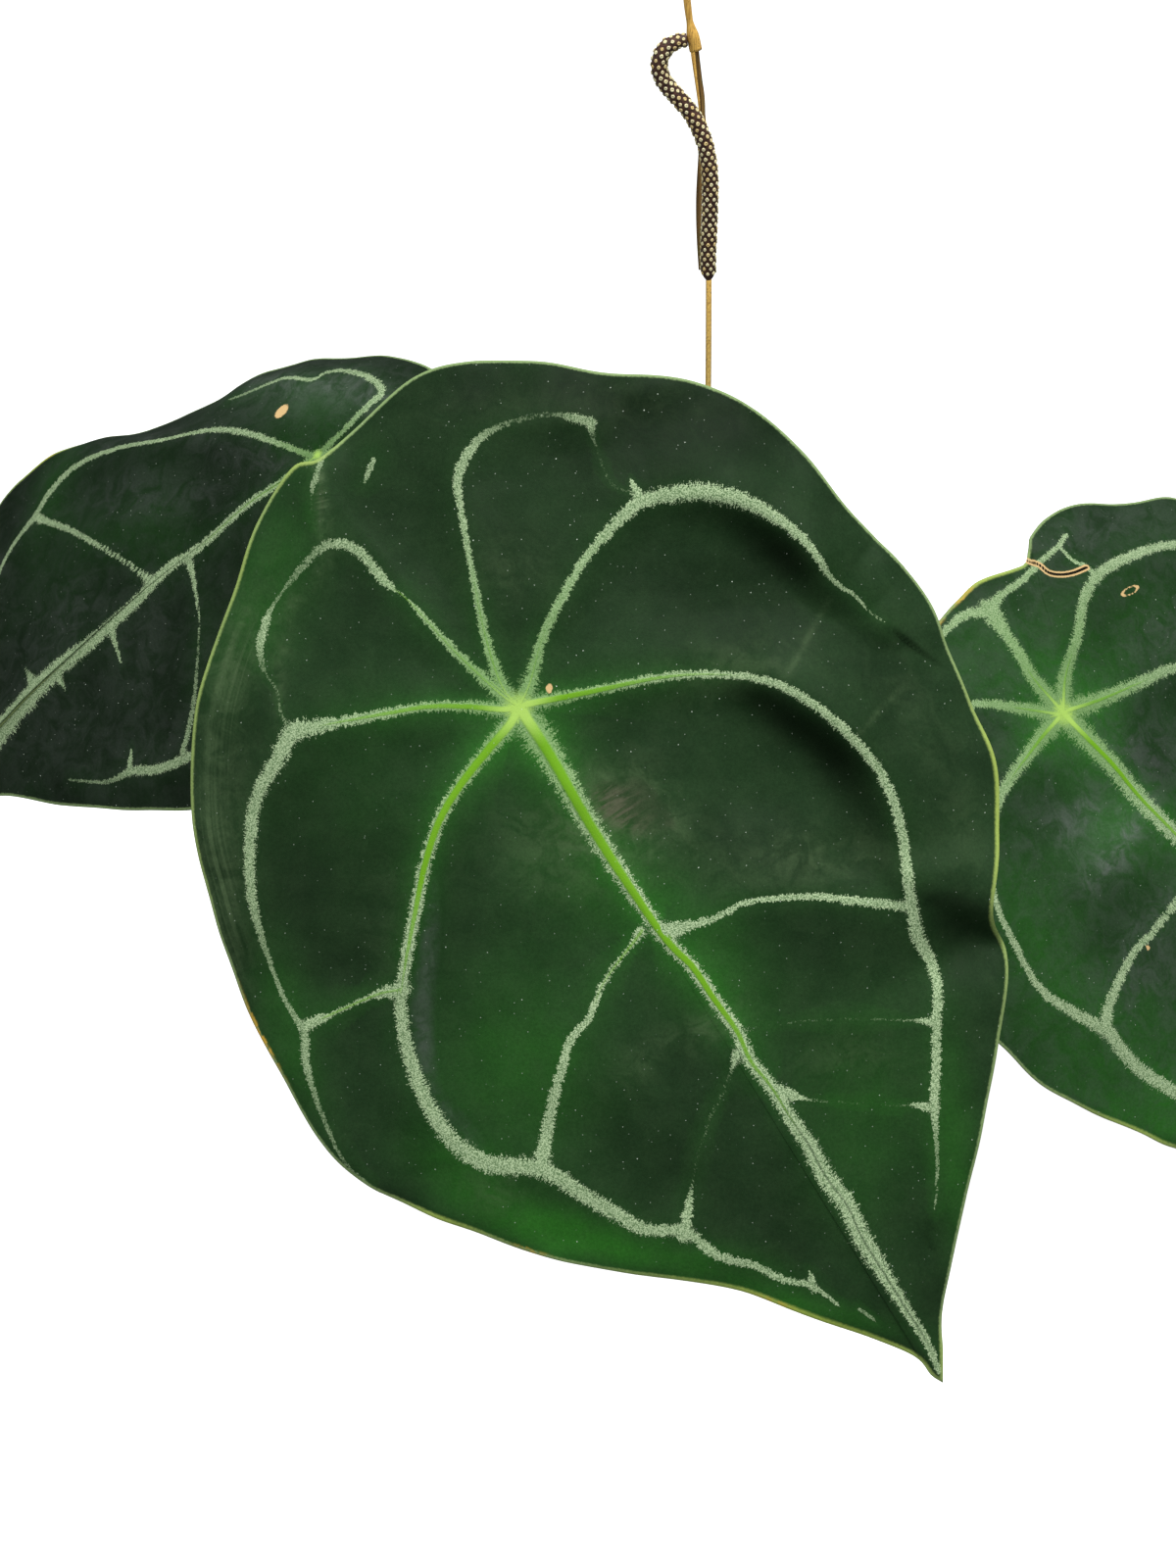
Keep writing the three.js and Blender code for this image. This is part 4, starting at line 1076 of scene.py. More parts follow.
@material("Flower stalk", 0.4, "anthurium_spike")
def flower_stalk_material(graph, look):
    """Golden brown with darker streaks along it, greener towards its foot."""
    streaks = graph.noise(graph.place((2.2, 2.2, 0.18)), 1.0, 4.0, 0.65)
    tone = graph.blend(graph.step(streaks, 0.4, 0.68), look.stalk, paint(198, 146, 68))
    tone = graph.blend(graph.step(graph.stored("stalk")[0], 190.0, 30.0), tone, paint(104, 110, 52))
    flecks = graph.step(graph.noise(graph.place(), 1.7, 3.0), 0.6, 0.68)
    tone = graph.blend(flecks * 0.6, tone, paint(84, 54, 26))
    return graph.surface(tone, streaks * 0.25 + 0.4, streaks + flecks, 0.12, 0.6)


@material("Spathe", 0.35)
def spathe_material(graph):
    """Golden brown, with long fine veins, darker and drier towards the edges."""
    across, along, _ = graph.stored("leafy")
    veins = graph.noise(graph.vector(across * 7.0, along * 0.05, 0.0), 1.0, 3.0)
    tone = graph.blend(graph.step(veins, 0.38, 0.62), paint(132, 98, 50), paint(192, 148, 80))
    tone = graph.blend(graph.step(abs(across), 0.72, 1.0) * 0.6, tone, paint(74, 52, 28))
    patches = graph.step(graph.noise(graph.place(), 0.28, 4.0, 0.6), 0.5, 0.66)
    tone = graph.blend(patches * 0.5, tone, paint(126, 122, 62))
    return graph.surface(tone, veins * 0.2 + 0.45, veins, 0.15, 0.7)


@material("Spadix skin", 0.4, "anthurium_spike")
def spadix_material(graph, look):
    """The spike's dark purple-brown skin between its flowers."""
    tone, height = mottle(graph, graph.place(), 0.9, look.spike, paint(92, 60, 48), paint(34, 20, 16), 0.6)
    return graph.surface(tone, height * 0.2 + 0.4, height, 0.12, 0.7)


@material("Spadix flowers", 0.4, "anthurium_spike")
def flower_material(graph, look):
    """A flower: a dark middle, four pale yellow lips round it and a brown skirt."""
    out, lot, _ = graph.stored("floret")
    grain = graph.noise(graph.place(), 3.0, 3.0)
    lips = graph.blend(graph.step(lot, 0.2, 1.2), look.flower, paint(236, 206, 134))
    tone = graph.blend(graph.step(out, 0.06, 0.2), paint(120, 88, 52), lips)
    tone = graph.blend(graph.step(out, 0.82, 0.99), tone, paint(64, 38, 28))
    tone = graph.blend(graph.step(grain, 0.55, 0.7) * 0.3, tone, paint(120, 92, 56))
    return graph.surface(tone, grain * 0.2 + 0.42, grain, 0.06, 0.5)


@material("Stem cork", 0.3)
def stem_material(graph):
    """Green cane that turns to brown cork on its ring scars and towards its foot."""
    place = graph.place()
    tones = paint(84, 96, 52), paint(112, 118, 70), paint(92, 70, 42)
    tone, height = mottle(graph, place, 0.22, *tones, 0.7)
    cork = graph.step(graph.parts(place)[2] + height * 9.0, 131.0, 119.0)
    tone = graph.blend(cork, tone, paint(108, 84, 56))
    tone = graph.blend(graph.stored("scar")[0], tone, paint(66, 46, 28))
    cracks = graph.noise(graph.place((1.4, 1.4, 0.4)), 1.0, 5.0, 0.7)
    return graph.surface(tone, cracks * 0.3 + 0.5, cracks + height * 0.5, 0.7)


@material("Papery sheath", 0.25)
def sheath_material(graph):
    """Dry papery fibre: straw threads over brown, darker towards the foot."""
    across, along, _ = graph.stored("leafy")
    threads = graph.noise(graph.vector(across * 14.0, along * 1.2, 0.0), 1.0, 4.0, 0.7)
    tone = graph.blend(graph.step(threads, 0.36, 0.64), paint(104, 72, 42), paint(186, 150, 100))
    tone = graph.blend(graph.step(along, 0.4, 0.0), tone, paint(88, 62, 38))
    stains = graph.step(graph.noise(graph.place(), 0.16, 4.0, 0.65), 0.52, 0.66)
    tone = graph.blend(stains * 0.6, tone, paint(66, 46, 30))
    return graph.surface(tone, threads * 0.15 + 0.72, threads, 0.4, 0.9)


@material("Root skin", 0.25)
def root_material(graph):
    """Pale matte skin, earthy where it meets the mix."""
    place = graph.place()
    tones = paint(158, 148, 116), paint(188, 182, 152), paint(112, 92, 64)
    tone, height = mottle(graph, place, 0.5, *tones, 0.7)
    earth = graph.step(graph.parts(place)[2] + height * 3.0, 117.0, 111.5)
    tone = graph.blend(earth * 0.8, tone, paint(78, 58, 38))
    return graph.surface(tone, height * 0.15 + 0.7, height, 0.3)


@material("Potting mix", 0.25, "anthurium_mix")
def mix_material(graph, look):
    """Damp peat: near black, with brown crumbs and a few pale grains."""
    place = graph.place()
    tone, height = mottle(graph, place, 0.35, look.peat, paint(78, 56, 38), paint(128, 102, 74), 0.6)
    crumbs = graph.noise(place, 0.9, 5.0, 0.7)
    return graph.surface(tone, crumbs * 0.25 + 0.7, crumbs + height, 1.4, 1.0)


@material("Bark", 0.25, "anthurium_mix")
def bark_material(graph, look):
    """Split pine bark: red-brown layers with grey weathering and dark cracks."""
    layers = graph.noise(graph.place((0.25, 0.25, 1.6)), 1.0, 5.0, 0.7)
    tone = graph.blend(graph.step(layers, 0.36, 0.64), look.bark, paint(150, 108, 74))
    tone = graph.blend(graph.stored("lot")[0] * 0.55, tone, paint(74, 48, 32))
    worn = graph.step(graph.noise(graph.place(), 0.3, 4.0, 0.6), 0.5, 0.68)
    tone = graph.blend(worn * 0.45, tone, paint(148, 134, 116))
    cracks = graph.step(graph.noise(graph.place((0.9, 0.9, 0.4)), 1.0, 4.0, 0.75), 0.42, 0.34)
    tone = graph.blend(cracks * 0.8, tone, paint(38, 24, 16))
    return graph.surface(tone, layers * 0.2 + 0.68, layers - cracks * 0.6, 0.8, 0.9)


@material("Perlite", 0.3)
def perlite_material(graph):
    """White volcanic grains, pitted and a little stained."""
    tones = paint(222, 220, 210), paint(238, 236, 228), paint(168, 152, 128)
    tone, height = mottle(graph, graph.place(), 0.7, *tones, 0.7)
    return graph.surface(tone, height * 0.1 + 0.75, height, 0.4)


@material("Clay", 0.28, "anthurium_pot")
def clay_material(graph, look):
    """Unglazed clay: turned marks, and lime bloom low down and at the rim."""
    place = graph.place()
    level = graph.parts(place)[2]
    tone, _ = mottle(graph, place, 0.05, look.clay, look.clay_light, paint(148, 88, 62), 0.35)
    marks = graph.noise(graph.place((0.02, 0.02, 0.9)), 1.0, 4.0, 0.6)
    tone = graph.blend(graph.step(marks, 0.5, 0.7) * 0.25, tone, paint(158, 98, 72))
    drift = graph.noise(place, 0.07, 5.0, 0.65)
    low = graph.step(drift * 60.0 + level, 62.0, 30.0)
    high = graph.step(drift * 34.0 + level, 134.0, 148.0)
    crust = graph.math("MAXIMUM", low, high) * graph.step(graph.noise(place, 0.5, 5.0, 0.7), 0.42, 0.6)
    tone = graph.blend(crust * 0.55, tone, look.bloom)
    tone = graph.blend(graph.stored("edge")[0] * 0.5, tone, paint(226, 168, 134))
    pits = graph.step(graph.noise(place, 1.9, 3.0, 0.6), 0.36, 0.28)
    tone = graph.blend(pits * 0.5, tone, paint(112, 62, 42))
    tone = graph.blend(dust(graph, place, 0.3, 0.35, 0.5) * 0.5, tone, paint(236, 208, 180))
    grit = graph.noise(place, 2.4, 4.0, 0.7)
    relief = grit * 0.35 + marks * 0.5 - pits * 0.6 + crust * 0.25
    return graph.surface(tone, grit * 0.15 + 0.74, relief, 0.3)


# Leaves.

TOP_ZONES = ((0.125, 8, 10), (0.25, 4, 12), (0.5, 2, 30), (1.0, 1, 78))
SMALL_TOP_ZONES = ((0.125, 8, 8), (0.25, 4, 10), (0.5, 2, 22), (1.0, 1, 60))
UNDER_ZONES = ((0.25, 8, 12), (0.5, 4, 14), (0.99, 2, 26), (1.0, 1, 1))
POINTS_AT_ONCE = 16384


def fan(count, zones):
    """The faces of a sheet that fans out from a middle point to a rim of that many points.

    A zone is (the share of the way out where it ends, one rim point in how many, rings). Returns each
    point's place on the rim and its share of the way out, and the quads and triangles between them.
    """
    spokes = [np.zeros(1, int)]
    shares = [np.zeros(1)]
    quads = []
    triangles = []
    inner = np.zeros(1, int)
    reached = 0
    for end, stride, rings in zones:
        size = count // stride
        for share in np.linspace(reached, end, rings + 1)[1:]:
            outer = inner[-1] + 1 + np.arange(size)
            after = np.roll(outer, -1)
            inner_after = np.roll(inner, -1)
            if len(inner) == 1:
                triangles.append(np.stack([np.zeros(size, int), outer, after], axis=1))
            elif len(inner) == size:
                quads.append(np.stack([inner, outer, after, inner_after], axis=1))
            else:
                middle = outer[1::2]
                triangles.append(np.stack([inner, outer[::2], middle], axis=1))
                triangles.append(np.stack([inner, middle, inner_after], axis=1))
                triangles.append(np.stack([inner_after, middle, after[1::2]], axis=1))
            spokes.append(stride * np.arange(size))
            shares.append(np.full(size, share))
            inner = outer
        reached = end
    return np.concatenate(spokes), np.concatenate(shares), np.vstack(quads), np.vstack(triangles)


def nearest_on(line, points):
    """How far each point lies from the line, positive on its left, and the run at the line's nearest place.

    The nearest of the line's points comes first, and then the nearer of the two pieces that meet there.
    """
    closest = []
    for part in np.array_split(points, 1 + len(points) // POINTS_AT_ONCE):
        gaps = (line**2).sum(axis=1) - 2 * part @ line.T
        closest.append(gaps.argmin(axis=1))
    closest = np.concatenate(closest)
    runs = runs_of(line)
    found = []
    for step in (-1, 0):
        start = np.clip(closest + step, 0, len(line) - 2)
        along = line[start + 1] - line[start]
        length = np.linalg.norm(along, axis=1)
        share = np.clip(((points - line[start]) * along).sum(axis=1) / length**2, 0, 1)
        apart = points - line[start] - along * share[:, None]
        side = np.where(along[:, 0] * apart[:, 1] >= along[:, 1] * apart[:, 0], 1, -1)
        found.append((side * np.linalg.norm(apart, axis=1), runs[start] + share * length))
    (first_gap, first_run), (second_gap, second_run) = found
    nearer = np.abs(first_gap) < np.abs(second_gap)
    return np.where(nearer, first_gap, second_gap), np.where(nearer, first_run, second_run)


def round_blur(values, reach):
    """The running Gaussian mean of values that go round a ring."""
    steps = np.arange(-2 * reach, 2 * reach + 1)
    weights = np.exp(-((steps / reach) ** 2))
    padded = np.concatenate([values[-2 * reach:], values, values[:2 * reach]])
    return np.convolve(padded, weights / weights.sum(), "valid")


def vein_fields(veins, points):
    """What the veins do at each point of a blade: band, centre, run, core, silver, seam, ridge and cord.

    band is the least of all veins' distance over half width, and the next five belong to that vein. ridge
    is the fourth root of the sum of the fourth powers of every vein's crest, which is its height times a
    Gaussian of the distance. cord is the highest Gaussian round the lime cores.
    """
    fields = np.zeros((6, len(points)))
    fields[0] = np.inf
    ridge, cord = np.zeros((2, len(points)))
    for vein in veins:
        curve = spline(vein["route"], 10)
        gap, run = nearest_on(evenly(curve, max(3, int(runs_of(curve)[-1]))), points)
        half, core, silver, seam = (along_run(vein[key], run) for key in ("half", "core", "silver", "seam"))
        own = np.stack([np.abs(gap) / half, gap, run, core, silver, seam])
        fields = np.where(own[0] < fields[0], own, fields)
        heights, left, right = vein["crest"]
        ridge += (along_run(heights, run) * np.exp(-(gap / np.where(gap > 0, left, right)) ** 2)) ** 4
        cord = np.maximum(cord, np.clip(core, 0, 1) * np.exp(-(gap / CORD_REACH) ** 2))
    return *fields, ridge**0.25, cord


def make_leaf(name, zones, rim_count, seed):
    """A blade: two faces that fan out from the stalk, half a thickness above and below one bowed sheet.

    The sheet's lift is the margin's smoothed lift times the share of the way out to the power 2.6, plus
    what smoothing took off times the share to the power 8, plus the swells, the veins' ridges and soft
    waves.
    """
    look = bpy.context.scene.anthurium_leaf
    leaf = LEAVES[name]
    rim = evenly(spline(leaf["margin"], 24, centripetal=False), rim_count + 1)[:-1]
    top = fan(rim_count, zones)
    under = fan(rim_count, UNDER_ZONES)
    spokes, shares = (np.concatenate([top[k], under[k]]) for k in range(2))
    flat = rim[spokes, :2] * shares[:, None]
    x, y = flat.T
    reach = np.hypot(x, y)

    band, centre, run, core, strength, seam, ridge, cord = vein_fields(leaf["veins"].values(), flat)
    closed_rim = np.vstack([rim, rim[:1]])[:, :2]
    margin_gap = np.abs(nearest_on(closed_rim, flat)[0])
    away = smooth_step(reach, 7, 26)
    swell = cloud_sum(leaf["swells"], x, y) - cloud_sum(leaf["swells"], np.zeros(1), np.zeros(1))
    settled = round_blur(rim[:, 2], rim_count // 14)
    lift = settled[spokes] * shares**MARGIN_BOW + (rim[:, 2] - settled)[spokes] * shares**RIM_BOW + swell
    lift += look.ridges * ridge * away + CORD_HEIGHT * cord * smooth_step(reach, 2, 9)
    lift += look.pillows * away * ripple(flat, 30, seed) + 0.03 * away * ripple(flat, 7, seed + 1)
    lift += look.margin_waves * smooth_step(margin_gap, 12, 0) * ripple(flat, 21, seed + 2)
    half = BLADE_THICKNESS / 2 * (0.4 + 0.6 * smooth_step(margin_gap, 0, 2.5))
    above = np.arange(len(lift)) < len(top[0])
    lift += np.where(above, half, -half)

    normal = unit(leaf["face"])
    right = unit(np.cross([0, 0, 1], normal))
    up = np.cross(normal, right)
    vertices = np.array(leaf["attach"]) + np.outer(x, right) + np.outer(y, up) + np.outer(lift, normal)

    start = len(top[0])
    rim_top = start - rim_count + np.arange(rim_count)
    rim_under = len(vertices) - rim_count + np.arange(rim_count)
    wall = np.stack([rim_top, rim_under, np.roll(rim_under, -1), np.roll(rim_top, -1)], axis=1)
    quads = np.vstack([top[2], wall, under[2][:, ::-1] + start])
    triangles = np.vstack([top[3], under[3][:, ::-1] + start])
    mesh = mesh_from("leaf_" + name, vertices, quads, triangles)
    top_quads = len(top[2]) + rim_count
    sides = np.concatenate([
        np.arange(len(quads)) >= top_quads, np.arange(len(triangles)) >= len(top[3]),
    ])
    mesh.polygons.foreach_set("material_index", sides.astype(np.int32))

    scars = np.full(len(x), 4.0)
    for scar in leaf["scars"]:
        scars = np.minimum(scars, np.maximum(oval_ratio(scar, x, y), 0.6))
    if "ring" in leaf:
        scars = np.minimum(scars, 0.6 + 1.9 * np.abs(oval_ratio(leaf["ring"], x, y) - 1))
        slit_gap = np.abs(nearest_on(spline(leaf["slit"], 12), flat)[0])
        scars = np.minimum(scars, slit_gap / SLIT_HALF_WIDTH)
    keys = ("lush", "cast", "shade", "burns", "gold")
    lush, cast, shade, burns, gold = (cloud_sum(leaf[key], x, y) for key in keys)
    more_lush, more_sheen_and_mottle, more_painted_shade = leaf["ground"]
    # The second number of tone is the painted sheen, partly the leaves' own mottling, and the second of
    # trim is painted shade, which lightens as painted sheen where it is negative.
    give_vectors(mesh, "vein", np.minimum(band, 4), centre, np.abs(centre))
    give_vectors(mesh, "course", run, core, strength)
    give_vectors(mesh, "tone", lush + more_lush, cast + more_sheen_and_mottle, margin_gap)
    give_vectors(mesh, "mark", reach * leaf["heart"], scars, burns)
    give_vectors(mesh, "trim", gold, shade + more_painted_shade, seam)
    settle(mesh, [leaf_top_material(), leaf_under_material()], "leaf", ["blade_" + name])


def blade_seat(leaf):
    """The last three points of a leaf's stalk, which comes straight up to the back of the blade."""
    normal = unit(leaf["face"])
    seat = np.array(leaf["attach"]) - normal * (BLADE_THICKNESS / 2 + SEAT_GAP)
    return [seat - 18 * normal, seat - 9 * normal, seat]


def make_rod(name, path, section, side, material, slot, node):
    """A closed rod that keeps each point's run from its foot and from its end."""
    mesh = mesh_from(name, *tube(path, section, side))
    run = runs_of(path)
    runs = np.concatenate([np.repeat(run, section.shape[1]), run[[0, -1]]])
    give_vectors(mesh, "stalk", runs, run[-1] - runs, 0 * runs)
    settle(mesh, [material], slot, [node])


def make_leaf_stalk(name):
    """A rod whose radius is a base, plus a Gaussian swelling at its foot and a step up to its neck."""
    stalk = LEAF_STALKS[name]
    route = np.vstack([stalk["bends"], blade_seat(LEAVES[name])])
    path = evenly(spline(route, 40), 260)
    path = path[np.hypot(path[:, 0], path[:, 1]) > STEM_RADIUS - 3]
    run = runs_of(path)
    share = run / run[-1]
    swelling = (STALK_FOOT_RADIUS - STALK_RADIUS) * np.exp(-((share / 0.14) ** 2))
    neck = (NECK_RADIUS - STALK_RADIUS) * smooth_step(share, 0.88, 0.95)
    wrinkle = 0.1 * smooth_step(share, 0.9, 0.95) * np.sin(run * 4.2)
    radius = STALK_RADIUS + swelling + neck + wrinkle
    sides = 28
    ribs = 1 + 0.018 * np.sin(9 * turn_round(sides))
    rod = path, round_section(radius, sides) * ribs[:, None], stalk["side"]
    make_rod("leaf_stalk_" + name, *rod, leaf_stalk_material(), "leaf_stalk", "petiole_" + name)


# The flower stalk, its narrow leaf and the spike.

def make_flower_stalk():
    """A thin rod with a wider foot and a knuckle just above the spike."""
    path = evenly(spline(FLOWER_STALK_PATH, 40), 460)
    path = path[np.hypot(path[:, 0], path[:, 1]) + np.maximum(path[:, 2] - STEM_TOP, 0) > 2]
    run = runs_of(path)
    share = run / run[-1]
    foot = (FLOWER_STALK_FOOT_RADIUS - FLOWER_STALK_RADIUS) * np.exp(-((share / 0.1) ** 2))
    knuckle = (FLOWER_NODE_RADIUS - FLOWER_STALK_RADIUS) * smooth_step(share, 0.975, 0.99)
    rod = path, round_section(FLOWER_STALK_RADIUS + foot + knuckle, 18), (1, 0, 0)
    make_rod("flower_stalk", *rod, flower_stalk_material(), "flower_stalk", "peduncle")


def make_spathe():
    """A narrow leaf: a flat closed section as wide as 0.2 plus 0.8 sines of the way, cupped and keeled."""
    path = evenly(spline(SPATHE_PATH, 30), 170)
    run = runs_of(path)
    share = run / run[-1]
    half = SPATHE_HALF_WIDTH * (0.2 + 0.8 * np.sin(math.pi * (share**1.25 * 0.92 + 0.02)))
    sides = 44
    angles = turn_round(sides)
    across = np.sign(np.cos(angles)) * np.abs(np.cos(angles)) ** 0.8
    thin = SPATHE_THICKNESS / 2 * np.sin(angles)
    cup = 0.5 * np.cos(share * 5.0)[:, None] * across**2 + 0.14 * np.cos(across * 19)[None, :]
    section = np.stack([half[:, None] * across, thin[None, :] + cup], axis=-1)
    mesh = mesh_from("spathe_leaf", *tube(path, section, SPATHE_SIDE))
    widths = np.concatenate([np.tile(across, len(path)), [0, 0]])
    runs = np.concatenate([np.repeat(run, sides), run[[0, -1]]])
    give_vectors(mesh, "leafy", widths, runs, 0 * runs)
    settle(mesh, [spathe_material()], "spathe", ["spathe"])


def spadix_radius(share):
    """The spike's radius: a little less at its base, and rounded off over the last twentieth."""
    taper = np.clip((share - 0.95) / 0.05, 0, 1)
    return SPADIX_RADIUS * (0.8 + 0.2 * smooth_step(share, 0, 0.1)) * np.sqrt(1 - taper**2 * 0.85)


def make_spadix():
    """The spike's core, and its flowers on a spiral lattice.

    Flower j of row i stands at angle 2 pi (j + i / 2) / 7 round the spike, and a row lies one pitch on from
    the last. A flower is five rings of points: its dark middle, a lip, a crown, a shoulder and a skirt.
    """
    look = bpy.context.scene.anthurium_spike
    path = evenly(spline(SPADIX_PATH, 30), 260)
    run = runs_of(path)
    section = round_section(spadix_radius(run / run[-1]) - 0.34, 40)
    core = mesh_from("spadix_spike", *tube(path, section, (0, 1, 0)))
    settle(core, [spadix_material()], "spadix", ["spadix"])

    rng = np.random.default_rng(5)
    rows = int((run[-1] - 1.6) / look.flower_pitch)
    row = np.repeat(np.arange(rows), FLOWERS_ROUND)
    slot = np.tile(np.arange(FLOWERS_ROUND), rows)
    run_at = 0.9 + row * look.flower_pitch + rng.normal(0, 0.05, len(row))
    angle = 2 * math.pi * (slot + row / 2) / FLOWERS_ROUND + row * 0.012 + rng.normal(0, 0.02, len(row))
    curves = (path, *frames_along(path, (0, 1, 0)))
    middle, on, one, two = (read_at(curve, run, run_at) for curve in curves)
    out = one * np.cos(angle)[:, None] + two * np.sin(angle)[:, None]
    round_way = np.cross(on, out)
    own_radius = spadix_radius(run_at / run[-1])
    base = middle + out * (own_radius - 0.32)[:, None]
    sides = 8
    corner = turn_round(sides)
    square = 1 / (np.abs(np.cos(corner)) ** 1.5 + np.abs(np.sin(corner)) ** 1.5) ** (1 / 1.5)
    reaches = np.array([0.0, 0.24, 0.5, 0.82, 1.0])
    heights = np.array([0.16, 0.20, 0.36, 0.26, -0.12])
    rings = len(reaches) - 1
    ring = np.concatenate([[0], np.repeat(np.arange(rings) + 1, sides)])
    turn = np.concatenate([[0], np.tile(np.arange(sides), rings)])
    share = rng.uniform(0.9, 1.1, len(row)) * np.clip(own_radius / 2.5, 0.5, 1)
    wide = reaches[ring] * square[turn] * look.flower_radius * share[:, None]
    spread = [wide * np.cos(corner[turn]) * 1.05, wide * np.sin(corner[turn]) * 0.98]
    spread.append(heights[ring] * share[:, None])
    ways = (on, round_way, out)
    points = base[:, None] + sum(way[:, None] * step[..., None] for way, step in zip(ways, spread))
    first_ring = 1 + np.arange(sides)
    crown = np.stack([0 * first_ring, first_ring, np.roll(first_ring, -1)], axis=1)
    skirts = 1 + ring_quads(rings, sides)[:, [0, 3, 2, 1]]
    faces = [copies(part, len(row), len(ring)) for part in (skirts, crown)]
    flowers = mesh_from("spadix_flowers", points.reshape(-1, 3), *faces)
    lots = np.repeat(rng.uniform(0, 1, len(row)), len(ring))
    give_vectors(flowers, "floret", np.tile(reaches[ring], len(row)), lots, 0 * lots)
    settle(flowers, [flower_material()], "spadix")


# The stem with its papery sheaths and roots.

def make_stem():
    """The cane: a turned post with a raised, worn scar where each old stalk fell."""
    levels = np.concatenate([[STEM_FOOT], np.arange(104, 146, 0.4), [146, 147.5, 149, 150, 150.6]])
    scars = sum(np.exp(-(((levels - level) / 0.9) ** 2)) for level in RING_SCAR_LEVELS)
    dome = along_run([(146, 1), (148, 0.93), (149.5, 0.72), (150.4, 0.45), (STEM_TOP, 0)], levels)
    sides = np.stack([STEM_RADIUS * dome + 0.5 * scars, levels], axis=1)
    profile = np.vstack([[[0, STEM_FOOT]], sides, [[0, STEM_TOP]]])

    def wobble(angle, radius, height):
        swing = np.sin(3 * angle + height * 0.21) * 0.16 + np.sin(17 * angle + height * 0.5) * 0.05
        return swing * smooth_step(height, 100, 112), 0 * height

    vertices, *faces = turned(profile, 96, wobble)
    mesh = mesh_from("stem_cane", vertices, *faces)
    height = vertices[:, 2]
    worn = sum(np.exp(-(((height - level - 0.6) / 0.8) ** 2)) for level in RING_SCAR_LEVELS)
    give_vectors(mesh, "scar", np.clip(worn, 0, 1), height, height)
    settle(mesh, [stem_material()], "stem", ["stem"])


def shell(outer, inner):
    """A closed sheet: its outer and inner faces are grids of points, joined round their four edges."""
    rows, columns = outer.shape[:2]
    index = np.arange(rows * columns).reshape(rows, columns)
    cells = np.stack([index[:-1, :-1], index[:-1, 1:], index[1:, 1:], index[1:, :-1]], axis=-1)
    cells = cells.reshape(-1, 4)
    edge = np.concatenate([index[0, :-1], index[:-1, -1], index[-1, :0:-1], index[:0:-1, 0]])
    after = np.roll(edge, -1)
    wall = np.stack([after, edge, edge + index.size, after + index.size], axis=1)
    vertices = np.vstack([outer.reshape(-1, 3), inner.reshape(-1, 3)])
    return vertices, np.vstack([cells, cells[:, ::-1] + index.size, wall])


def make_sheath(number, sheath):
    """A torn papery scale: its width narrows by 0.94 of the way up to the power 1.6, and it leans out.

    Its radius is the stem's, plus the lean times the squared way up, with ribs and a curled, ragged top.
    """
    u, v = np.meshgrid(np.linspace(-1, 1, 61), np.linspace(0, 1, 70))
    flat = np.stack([u.ravel() * 3, v.ravel() * 9], axis=1)
    tatter = ripple(flat, 0.9, 40 + number).reshape(u.shape)
    width = math.radians(sheath["half_angle"]) * (1 - 0.94 * v**1.6) * (1 + 0.05 * tatter * v)
    angle = math.radians(sheath["bearing"]) + u * width
    ribs = 0.16 * np.cos(u * 26 + v * 2)
    curl = 0.6 * u**2 * v + 0.35 * v * ripple(flat, 3, 50 + number).reshape(u.shape)
    radius = STEM_RADIUS + SHEATH_CLEARANCE + sheath["lean"] * v**2 + ribs + curl * 1.2 + 0.2
    height = sheath["foot"] + sheath["height"] * v * (1 - 0.05 * u**2) + 0.8 * tatter * v**3
    faces = [polar(radius + more, angle, height) for more in (SHEATH_THICKNESS * 0.7, 0)]
    mesh = mesh_from(f"sheath_{number}", *shell(*faces))
    give_vectors(mesh, "leafy", np.tile(u.ravel(), 2), np.tile(v.ravel() * 9, 2), np.zeros(2 * u.size))
    settle(mesh, [sheath_material()], "sheath", [f"cataphyll_{number}"])


def make_root(number, root):
    """A bumpy rod that leaves the stem, arches over and meets the mix."""
    reach, level = root["reach"], root["level"]
    arch = [(4, level), (12, level), (0.75 * reach, level - 1.5)]
    drop = [(reach - 1, SOIL_LEVEL + 5), (reach, SOIL_LEVEL + 2), (reach, SOIL_LEVEL + SEAT_GAP)]
    path = evenly(spline(arch + drop, 30), 90)
    bearing = math.radians(root["bearing"])
    path = polar(path[:, 0], bearing, path[:, 1])
    run = runs_of(path)
    sides = 24
    radius = ROOT_RADIUS * blunt_ends(run, ROOT_RADIUS, 0.4) * (1 + 0.05 * np.sin(run * 0.9 + number))
    section = round_section(np.maximum(radius, 0.4), sides)
    vertices, *faces = tube(path, section, (-math.sin(bearing), math.cos(bearing), 0))
    middle = np.concatenate([np.repeat(path, sides, axis=0), path[[0, -1]]])
    vertices = vertices + (vertices - middle) * 0.05 * ripple(vertices, 2.6, 60 + number)[:, None]
    mesh = mesh_from(f"root_{number}", vertices, *faces)
    settle(mesh, [root_material()], "root", [f"aerial_root_{number}"])


# The pot and what fills it.

